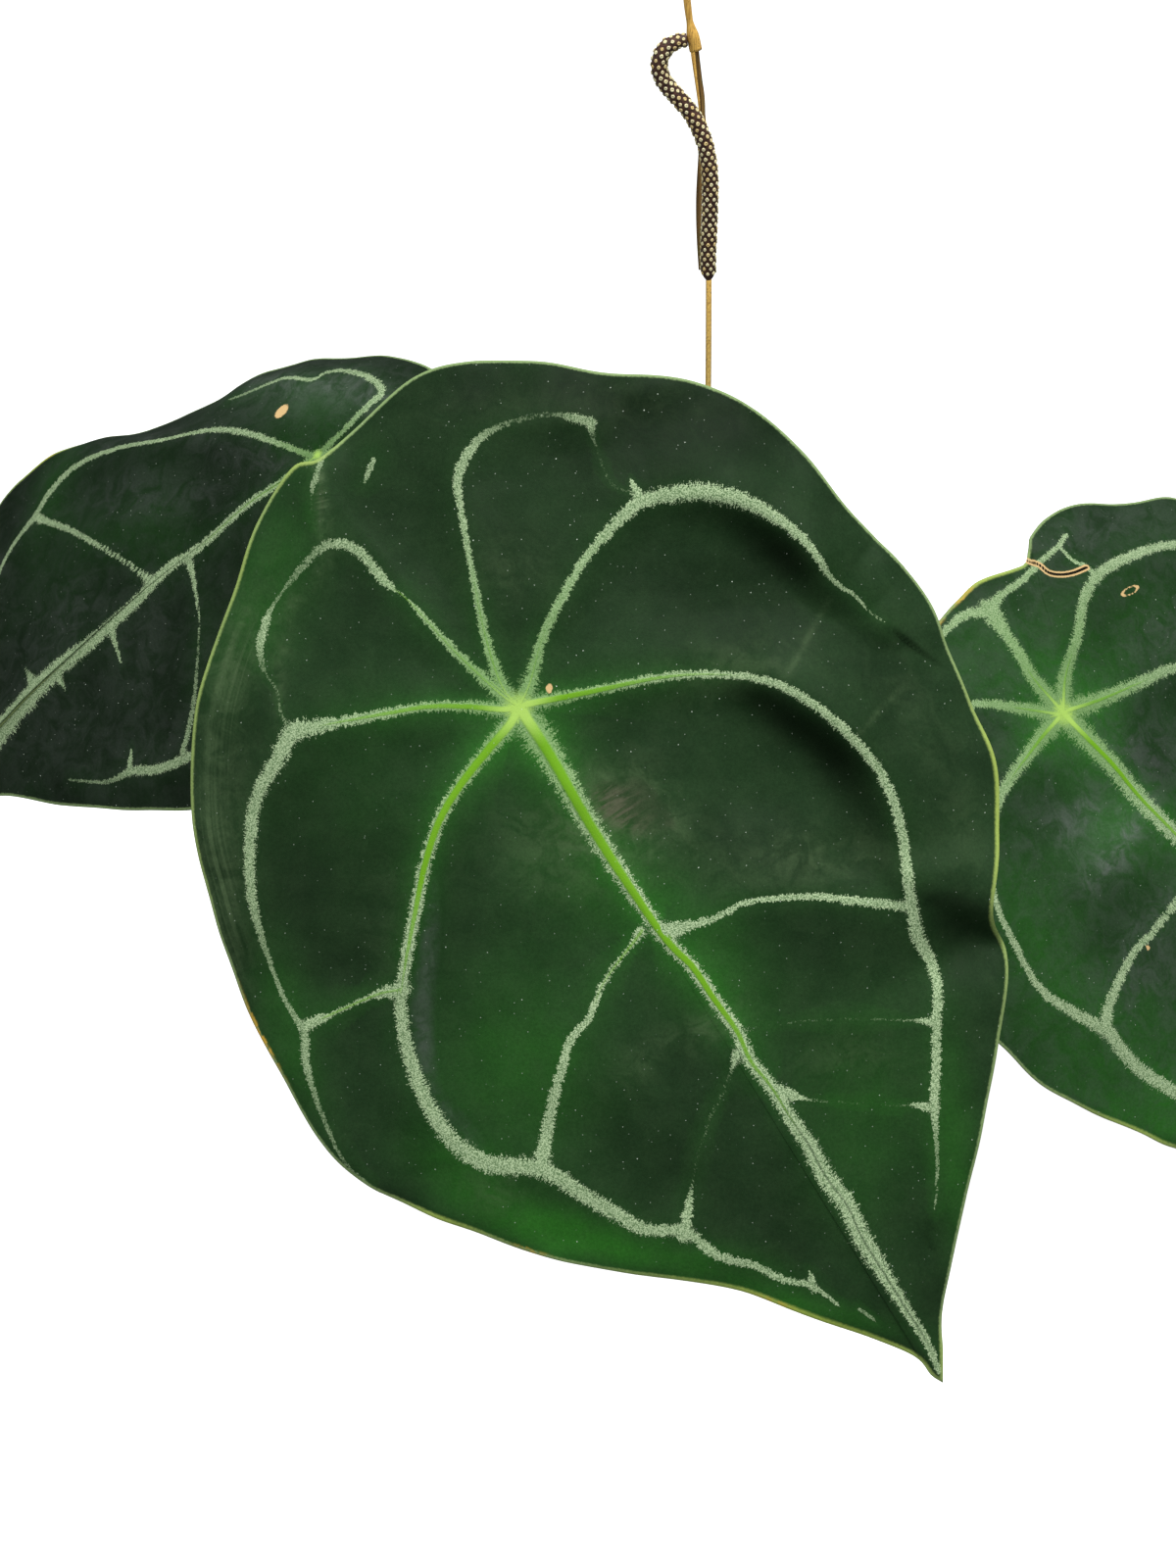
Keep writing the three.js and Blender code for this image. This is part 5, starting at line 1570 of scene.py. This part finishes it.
def cut_drain_holes(piece):
    """Cuts round holes through the floor with turned posts, and keeps the result as the piece's mesh."""
    levels = [(0, -1.2), (DRAIN_RADIUS + 0.8, -1.2), (DRAIN_RADIUS, 0.7)]
    levels += [(DRAIN_RADIUS, POT_FLOOR + 2), (0, POT_FLOOR + 2)]
    post, *faces = turned(np.array(levels), 36)
    bearings = np.radians(DRAIN_ANGLES)
    posts = (post + polar(DRAIN_CIRCLE_RADIUS, bearings, 0 * bearings)[:, None]).reshape(-1, 3)
    faces = [copies(part, len(bearings), len(post)) for part in faces]
    cutter = bpy.data.objects.new("drain_cutter", mesh_from("drain_cutter", posts, *faces))
    bpy.context.scene.collection.objects.link(cutter)
    cut = piece.modifiers.new("Drain holes", "BOOLEAN")
    cut.object = cutter
    cut.solver = "EXACT"
    view = bpy.context.evaluated_depsgraph_get()
    holed = bpy.data.meshes.new_from_object(piece.evaluated_get(view))
    piece.modifiers.clear()
    whole = piece.data
    piece.data = holed
    holed.name = piece.name
    bpy.data.objects.remove(cutter)
    bpy.data.meshes.remove(whole)


def make_pot():
    """A turned pot: a profile with soft corners, carried round, with shallow throwing rings."""
    look = bpy.context.scene.anthurium_pot
    profile = soft_profile(POT_PROFILE, 0.9, 1.1)

    def wobble(angle, radius, height):
        rings = np.sin(height * 2 * math.pi / 4.6) + 0.5 * np.sin(height * 2 * math.pi / 7.3 + 1)
        sway = 0.12 * np.sin(2 * angle + 0.7) + 0.08 * np.sin(3 * angle + height * 0.03)
        shown = smooth_step(height, 6, 14) * smooth_step(radius, 40, 44)
        return (look.rings * rings * 0.6 + sway) * shown, 0 * height

    mesh = mesh_from("clay_pot", *turned(profile, 168, wobble))
    piece = settle(mesh, [clay_material()], "clay", ["pot"])
    cut_drain_holes(piece)
    mesh = piece.data
    places = np.empty(3 * len(mesh.vertices), np.float32)
    mesh.vertices.foreach_get("co", places)
    places = places.reshape(-1, 3) / MM
    radius = np.hypot(places[:, 0], places[:, 1])
    height = places[:, 2]
    lip = np.exp(-((np.abs(height - POT_HEIGHT) / 1.6) ** 2)) * (radius > 62)
    ledge = np.exp(-(((height - POT_LEDGE) / 1.5) ** 2)) * smooth_step(radius, 66, 68)
    foot = np.exp(-((height / 1.8) ** 2)) * smooth_step(radius, 43, 46)
    ragged = 0.6 + 0.4 * ripple(places.astype(float), 5, 9)
    give_vectors(mesh, "edge", np.clip((lip + ledge + foot) * ragged, 0, 1), height, radius)
    mesh.polygons.foreach_set("use_smooth", np.ones(len(mesh.polygons), bool))
    mesh.set_sharp_from_angle(angle=math.radians(50))


def make_mix_bed():
    """The mix as one turned body with a lumpy top; the stem stands in a socket in its middle."""
    slope = (POT_PROFILE[7][0] - POT_PROFILE[8][0]) / (POT_HEIGHT - POT_FLOOR)
    outer = POT_PROFILE[8][0] + (SOIL_LEVEL - POT_FLOOR) * slope - 0.45
    inside = np.linspace(outer, STEM_SOCKET, 62)
    top = np.stack([inside, np.full(len(inside), float(SOIL_LEVEL))], axis=1)
    profile = np.vstack([
        [[0, 7.3], [43.2, 7.3], [outer - 0.9, 105]], top, [[STEM_SOCKET, 80], [0, 80]],
    ])

    def wobble(angle, radius, height):
        spots = polar(radius, angle).reshape(-1, 2)
        lumps = 0.6 * ripple(spots, 14, 3) + 0.45 * ripple(spots, 5, 4) + 0.3 * ripple(spots, 2.6, 6)
        return 0 * radius, np.where(height > SOIL_LEVEL - 1, lumps.reshape(radius.shape), 0)

    mesh = mesh_from("mix_bed", *turned(profile, 220, wobble))
    settle(mesh, [mix_material()], "potting_mix", ["potting_mix"])


def lump_template():
    """Eighty triangles: an icosahedron with each face cut in four and its points put on the unit ball."""
    golden = (1 + math.sqrt(5)) / 2
    corners = np.array([
        (-1, golden, 0), (1, golden, 0), (-1, -golden, 0), (1, -golden, 0), (0, -1, golden),
        (0, 1, golden), (0, -1, -golden), (0, 1, -golden), (golden, 0, -1), (golden, 0, 1),
        (-golden, 0, -1), (-golden, 0, 1),
    ])
    faces = np.array([
        (0, 11, 5), (0, 5, 1), (0, 1, 7), (0, 7, 10), (0, 10, 11), (1, 5, 9), (5, 11, 4), (11, 10, 2),
        (10, 7, 6), (7, 1, 8), (3, 9, 4), (3, 4, 2), (3, 2, 6), (3, 6, 8), (3, 8, 9), (4, 9, 5),
        (2, 4, 11), (6, 2, 10), (8, 6, 7), (9, 8, 1),
    ])
    pairs = np.stack([faces[:, [0, 1]], faces[:, [1, 2]], faces[:, [2, 0]]], axis=1)
    edges, places = np.unique(np.sort(pairs.reshape(-1, 2), axis=1), axis=0, return_inverse=True)
    middles = len(corners) + places.reshape(-1, 3)
    a, b, c = faces.T
    ab, bc, ca = middles.T
    quarters = ((a, ab, ca), (b, bc, ab), (c, ca, bc), (ab, bc, ca))
    split = np.vstack([np.stack(three, axis=1) for three in quarters])
    points = np.vstack([corners, corners[edges].mean(axis=1)])
    return unit(points), split


def swung(x, y, angle):
    """Two coordinates turned together by an angle."""
    return x * np.cos(angle) - y * np.sin(angle), x * np.sin(angle) + y * np.cos(angle)


def scatter_lumps(name, material, slot, count, sizes, flatness, seed):
    """Lumps on the mix: unit balls made uneven by noise, stretched, turned and half sunk in it."""
    rng = np.random.default_rng(seed)
    ball, faces = lump_template()
    distance = np.sqrt(rng.uniform((STEM_RADIUS + 4) ** 2, 58**2, count))
    bearing = rng.uniform(0, 2 * math.pi, count)
    spots = polar(distance, bearing)
    size = rng.uniform(*sizes, (count, 1)) * np.stack([
        rng.uniform(0.8, 1.5, count), rng.uniform(0.6, 1.0, count), rng.uniform(*flatness, count),
    ], axis=1)
    rough = ball[None] * (1 + 0.22 * ripple(ball, 1.3, seed + 1))[None, :, None]
    points = rough * size[:, None, :]
    points = points + size.min(axis=1)[:, None, None] * rng.normal(0, 0.13, points.shape)
    tilt = rng.normal(0, 0.35, count)
    turn = rng.uniform(0, 2 * math.pi, count)
    x, y, z = points.transpose(2, 0, 1)
    x, z = swung(x, z, tilt[:, None])
    x, y = swung(x, y, turn[:, None])
    places = [x + spots[:, :1], y + spots[:, 1:], z + SOIL_LEVEL + 0.35 * size[:, 2:]]
    faces = copies(faces, count, len(ball))
    mesh = mesh_from(name, np.stack(places, axis=-1).reshape(-1, 3), triangles=faces)
    lots = np.repeat(rng.uniform(0, 1, count), len(ball))
    give_vectors(mesh, "lot", lots, lots, lots)
    mesh.set_sharp_from_angle(angle=math.radians(38))
    settle(mesh, [material], slot)


def make_chip(number):
    """A chip of bark: a six-sided outline drawn in towards its top and foot by a small power of cosine.

    Its height is half the depth times the same power of sine, with layered unevenness, and it fills the
    box of its solid node.
    """
    low, high = (np.array(corner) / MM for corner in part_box(f"bark_chip_{number}"))
    index = number - 1
    sides = 72
    angle = 2 * math.pi * np.arange(7) / 6 + 0.5 * math.sin(2.1 * index)
    reach = 5.5 + 1.4 * np.sin(3.7 * index + 2.3 * (np.arange(7) % 6))
    corners = polar(reach, angle) * (1.25, 0.8)
    outline = soft_profile(np.stack(swung(*corners.T, 1.3 * index), axis=1), 0.25, 0.5)
    outline = evenly(np.vstack([outline, outline[:1]]), sides + 1)[:-1]
    rise = np.linspace(-math.pi / 2, math.pi / 2, 26)[1:-1]
    narrow = np.cos(rise) ** 0.28
    level = np.sign(np.sin(rise)) * np.abs(np.sin(rise)) ** 0.6
    heights = np.repeat(2.4 * level[:, None], sides, axis=1)
    points = np.concatenate([outline[None] * narrow[:, None, None], heights[..., None]], axis=2)
    layers = ripple(points.reshape(-1, 3) * (0.4, 0.4, 3), 3.0, 70 + number)
    split = ripple(points.reshape(-1, 3), 2.2, 80 + number)
    layers, split = (wave.reshape(len(rise), sides, 1) for wave in (layers, split))
    points = points * (1 + np.array([0.05, 0.05, 0]) * layers + np.array([0.03, 0.03, 0.05]) * split)
    poles = [[0, 0, points[0, :, 2].mean()], [0, 0, points[-1, :, 2].mean()]]
    vertices = np.vstack([points.reshape(-1, 3), poles])
    span = vertices.max(axis=0) - vertices.min(axis=0)
    vertices = low + (vertices - vertices.min(axis=0)) / span * (high - low)
    mesh = mesh_from(f"chip_{number}", vertices, ring_quads(len(rise), sides), cap_fans(len(rise), sides))
    lots = np.full(len(vertices), (number * 0.37) % 1)
    give_vectors(mesh, "lot", lots, lots, lots)
    mesh.set_sharp_from_angle(angle=math.radians(45))
    settle(mesh, [bark_material()], "bark", [f"bark_chip_{number}"])


# The stage.

def make_camera(scene):
    """The photograph's view: from the front, 38 degrees above the level."""
    lens = bpy.data.cameras.new("photo_view")
    lens.lens = 45
    lens.sensor_width = 36
    lens.clip_start = 0.01
    camera = bpy.data.objects.new("photo_view", lens)
    camera.location = CAMERA_PLACE
    camera.rotation_euler = (math.radians(90 - CAMERA_ELEVATION), 0, 0)
    scene.collection.objects.link(camera)
    scene.camera = camera


def make_lamp(scene, name, place, size, power, tint):
    """A square soft lamp that faces the middle of the plant; its place is in metres."""
    light = bpy.data.lights.new(name, "AREA")
    light.shape = "SQUARE"
    light.size = size
    light.energy = power
    light.color = tint
    lamp = bpy.data.objects.new(name, light)
    lamp.location = place
    way = np.array(LAMP_TARGET) - np.array(place)
    flat = math.hypot(way[0], way[1])
    lamp.rotation_euler = (math.atan2(flat, -way[2]), 0, math.atan2(way[1], way[0]) - math.pi / 2)
    scene.collection.objects.link(lamp)


def make_floor(scene, stage):
    """A wide pale floor, which the camera sees as nearly white."""
    half = stage.floor_size / 2 / MM
    low = -FLOOR_GAP
    corners = [(-half, -half, low), (half, -half, low), (half, half, low), (-half, half, low)]
    mesh = mesh_from("floor", np.array(corners, float), [(0, 1, 2, 3)])
    pale = bpy.data.materials.new("Pale floor")
    graph = graph_of(pale)
    tone = graph.blend(graph.noise(graph.place(), 0.02), (0.86, 0.86, 0.86, 1), (0.9, 0.9, 0.9, 1))
    matte = graph.take("BsdfDiffuse", 0, {"Color": tone})
    glow = graph.take("Emission", 0, {"Color": (1, 1, 1, 1), "Strength": stage.floor_glow})
    both = graph.take("AddShader", 0, {0: matte, 1: glow})
    dull = graph.take("BsdfDiffuse", 0, {"Color": (stage.bounce, stage.bounce, stage.bounce, 1)})
    seen = graph.take("LightPath", "Is Camera Ray")
    graph.add("OutputMaterial", {"Surface": graph.take("MixShader", 0, {0: seen, 1: dull, 2: both})})
    mesh.materials.append(pale)
    floor = bpy.data.objects.new("floor", mesh)
    scene.collection.objects.link(floor)


def make_sky(scene, stage):
    """White to the camera, and a dimmer grey as light."""
    world = bpy.data.worlds.new("Pale room")
    scene.world = world
    graph = graph_of(world)
    lit = graph.take("Background", 0, {"Color": (0.93, 0.97, 1, 1), "Strength": stage.sky})
    white = graph.take("Background", 0, {"Color": (1, 1, 1, 1), "Strength": 1.0})
    seen = graph.take("LightPath", "Is Camera Ray")
    graph.add("OutputWorld", {"Surface": graph.take("MixShader", 0, {0: seen, 1: lit, 2: white})})


# What a user may change.

def tint(label, about, colour):
    return bpy.props.FloatVectorProperty(
        name=label, description=about, default=colour, size=4, min=0, max=1, subtype="COLOR"
    )


def amount(label, about, value, high, unit="NONE"):
    return bpy.props.FloatProperty(name=label, description=about, default=value, min=0, max=high, unit=unit)


def count(label, about, value):
    return bpy.props.IntProperty(name=label, description=about, default=value, min=1)


class AnthuriumLeafLook(bpy.types.PropertyGroup):
    shade: tint("Deep green", "The darkest tone of the blade", paint(27, 42, 27))
    lamina: tint("Dark green", "The blade between its veins", paint(37, 58, 36))
    lush: tint("Fresh green", "The greener patches of the blade", paint(44, 104, 34))
    # The three casts are the tones of the painted sheen; the blue one also gives the smaller leaves their
    # purple grey mottling.
    cloud: tint("Green cast", "The grey green sheen of the blade", paint(86, 108, 74))
    warm_painted_sheen: tint("Brown cast", "The sheen where it is strongest", paint(96, 96, 78))
    cool_mottle_and_sheen: tint("Blue cast", "The cool sheen of the shaded leaf", paint(90, 97, 92))
    silver_shade: tint("Silver shade", "The darker flecks of a silver band", paint(110, 138, 96))
    silver: tint("Silver", "The light flecks of a silver band", paint(192, 214, 170))
    silver_green: tint("Green silver", "The bands near the stalk", paint(116, 160, 90))
    lime: tint("Lime", "The cord inside the main veins", paint(112, 168, 36))
    lime_bright: tint("Bright lime", "The cord where it meets the stalk", paint(174, 212, 103))
    hem: tint("Margin", "The thin line at the blade's edge", paint(146, 172, 116))
    hem_gold: tint("Yellow margin", "The margin where it turns yellow", paint(196, 218, 88))
    ridges: amount("Ridges", "How far the veins' ridges rise, as a share", 1.0, 4.0)
    pillows: amount("Pillows", "How high the blade swells between its veins, in millimetres", 0.35, 5.0)
    margin_waves: amount("Margin waves", "How high the margin waves, in millimetres", 0.6, 5.0)


class AnthuriumSpikeLook(bpy.types.PropertyGroup):
    stalk: tint("Stalk", "The flower stalk", paint(250, 200, 100))
    spike: tint("Spike", "The skin between the flowers", paint(58, 34, 30))
    flower: tint("Flower", "The lips of each flower", paint(255, 246, 198))
    flower_pitch: amount("Flower pitch", "How far apart the rows of flowers are, in millimetres", 1.62, 3.0)
    flower_radius: amount("Flower radius", "How far a flower reaches, in millimetres", 0.7, 2.0)


class AnthuriumPotLook(bpy.types.PropertyGroup):
    clay: tint("Clay", "The pot's clay", paint(186, 112, 78))
    clay_light: tint("Light clay", "The clay where it is drier", paint(208, 138, 102))
    bloom: tint("Bloom", "The lime crust", paint(226, 206, 188))
    rings: amount("Throwing rings", "How deep the turned rings are, in millimetres", 0.16, 2.0)


class AnthuriumMixLook(bpy.types.PropertyGroup):
    peat: tint("Peat", "The fine part of the mix", paint(48, 34, 24))
    bark: tint("Bark", "The chips and crumbs of bark", paint(112, 74, 48))
    crumbs: count("Crumbs", "Crumbs of bark on the mix", 420)
    grains: count("Perlite", "White grains on the mix", 90)


class AnthuriumStageLook(bpy.types.PropertyGroup):
    key: amount("Key lamp", "The power of the lamp overhead", 17.0, 500.0, "POWER")
    side: amount("Side lamp", "The power of the lamp on the left", 3.0, 500.0, "POWER")
    sky: amount("Sky", "How strongly the room itself lights the plant", 0.3, 10.0)
    floor_glow: amount("Floor glow", "How much of its white the floor gives to the camera", 0.85, 5.0)
    bounce: amount("Floor bounce", "The share of light that the floor throws back on the plant", 0.3, 1.0)
    floor_size: amount("Floor size", "The side of the floor", 8.0, 100.0, "LENGTH")


LOOKS = (
    ("anthurium_leaf", AnthuriumLeafLook), ("anthurium_spike", AnthuriumSpikeLook),
    ("anthurium_pot", AnthuriumPotLook), ("anthurium_mix", AnthuriumMixLook),
    ("anthurium_stage", AnthuriumStageLook),
)


class AddStage(bpy.types.Operator):
    """Adds the camera, the lamps, the room's light and the floor"""
    bl_idname = "anthurium.add_stage"
    bl_label = "Stage"

    def execute(self, context):
        scene = context.scene
        stage = scene.anthurium_stage
        make_camera(scene)
        make_lamp(scene, "key_lamp", (0.2, -0.25, 1.45), 0.7, stage.key, (1, 1, 0.97))
        make_lamp(scene, "side_lamp", (-1.2, -0.75, 0.75), 0.5, stage.side, (0.97, 1, 0.95))
        make_floor(scene, stage)
        make_sky(scene, stage)
        scene.view_settings.view_transform = "Standard"
        return {"FINISHED"}


class AddPot(bpy.types.Operator):
    """Adds the clay pot with its drainage holes"""
    bl_idname = "anthurium.add_pot"
    bl_label = "Pot"

    def execute(self, context):
        make_pot()
        return {"FINISHED"}


class AddMix(bpy.types.Operator):
    """Adds the potting mix with its crumbs, grains and larger chips of bark"""
    bl_idname = "anthurium.add_mix"
    bl_label = "Potting mix"

    def execute(self, context):
        look = context.scene.anthurium_mix
        make_mix_bed()
        scatter_lumps("mix_bits", bark_material(), "bark", look.crumbs, (1.0, 2.6), (0.35, 0.8), 21)
        grains = perlite_material(), "potting_mix", look.grains
        scatter_lumps("perlite_bits", *grains, (0.8, 1.5), (0.7, 1.0), 33)
        for number in range(1, CHIP_COUNT + 1):
            make_chip(number)
        return {"FINISHED"}


class AddStem(bpy.types.Operator):
    """Adds the stem with its papery sheaths and its roots"""
    bl_idname = "anthurium.add_stem"
    bl_label = "Stem, sheaths and roots"

    def execute(self, context):
        make_stem()
        for number, sheath in enumerate(SHEATHS, 1):
            make_sheath(number, sheath)
        for number, root in enumerate(ROOTS, 1):
            make_root(number, root)
        return {"FINISHED"}


class AddLeaves(bpy.types.Operator):
    """Adds the three leaves and their stalks"""
    bl_idname = "anthurium.add_leaves"
    bl_label = "Leaves and their stalks"

    def execute(self, context):
        make_leaf("main", TOP_ZONES, 768, 11)
        make_leaf("left", SMALL_TOP_ZONES, 512, 17)
        make_leaf("right", SMALL_TOP_ZONES, 512, 23)
        for name in LEAF_STALKS:
            make_leaf_stalk(name)
        return {"FINISHED"}


class AddSpike(bpy.types.Operator):
    """Adds the flower stalk, its narrow leaf and the flowering spike"""
    bl_idname = "anthurium.add_spike"
    bl_label = "Flower stalk and spike"

    def execute(self, context):
        make_flower_stalk()
        make_spathe()
        make_spadix()
        return {"FINISHED"}


OPERATORS = (AddStage, AddPot, AddMix, AddStem, AddLeaves, AddSpike)


class AnthuriumPanel(bpy.types.Panel):
    """Lists the plant's pieces and what can be changed about them"""
    bl_idname = "VIEW3D_PT_anthurium"
    bl_label = "Potted anthurium"
    bl_space_type = "VIEW_3D"
    bl_region_type = "UI"
    bl_category = "Plant"

    def draw(self, context):
        for operator in OPERATORS:
            self.layout.operator(operator.bl_idname)
        for name, look in LOOKS:
            box = self.layout.box()
            for field in look.__annotations__:
                box.prop(getattr(context.scene, name), field)


def register():
    for name, look in LOOKS:
        bpy.utils.register_class(look)
        setattr(bpy.types.Scene, name, bpy.props.PointerProperty(type=look))
    for part in OPERATORS + (AnthuriumPanel,):
        bpy.utils.register_class(part)


def unregister():
    for part in reversed(OPERATORS + (AnthuriumPanel,)):
        bpy.utils.unregister_class(part)
    for name, look in reversed(LOOKS):
        delattr(bpy.types.Scene, name)
        bpy.utils.unregister_class(look)


def main():
    register()
    bpy.ops.anthurium.add_stage()
    bpy.ops.anthurium.add_leaves()
    bpy.ops.anthurium.add_spike()
    bpy.ops.anthurium.add_stem()
    bpy.ops.anthurium.add_mix()
    bpy.ops.anthurium.add_pot()


if __name__ == "__main__":
    main()
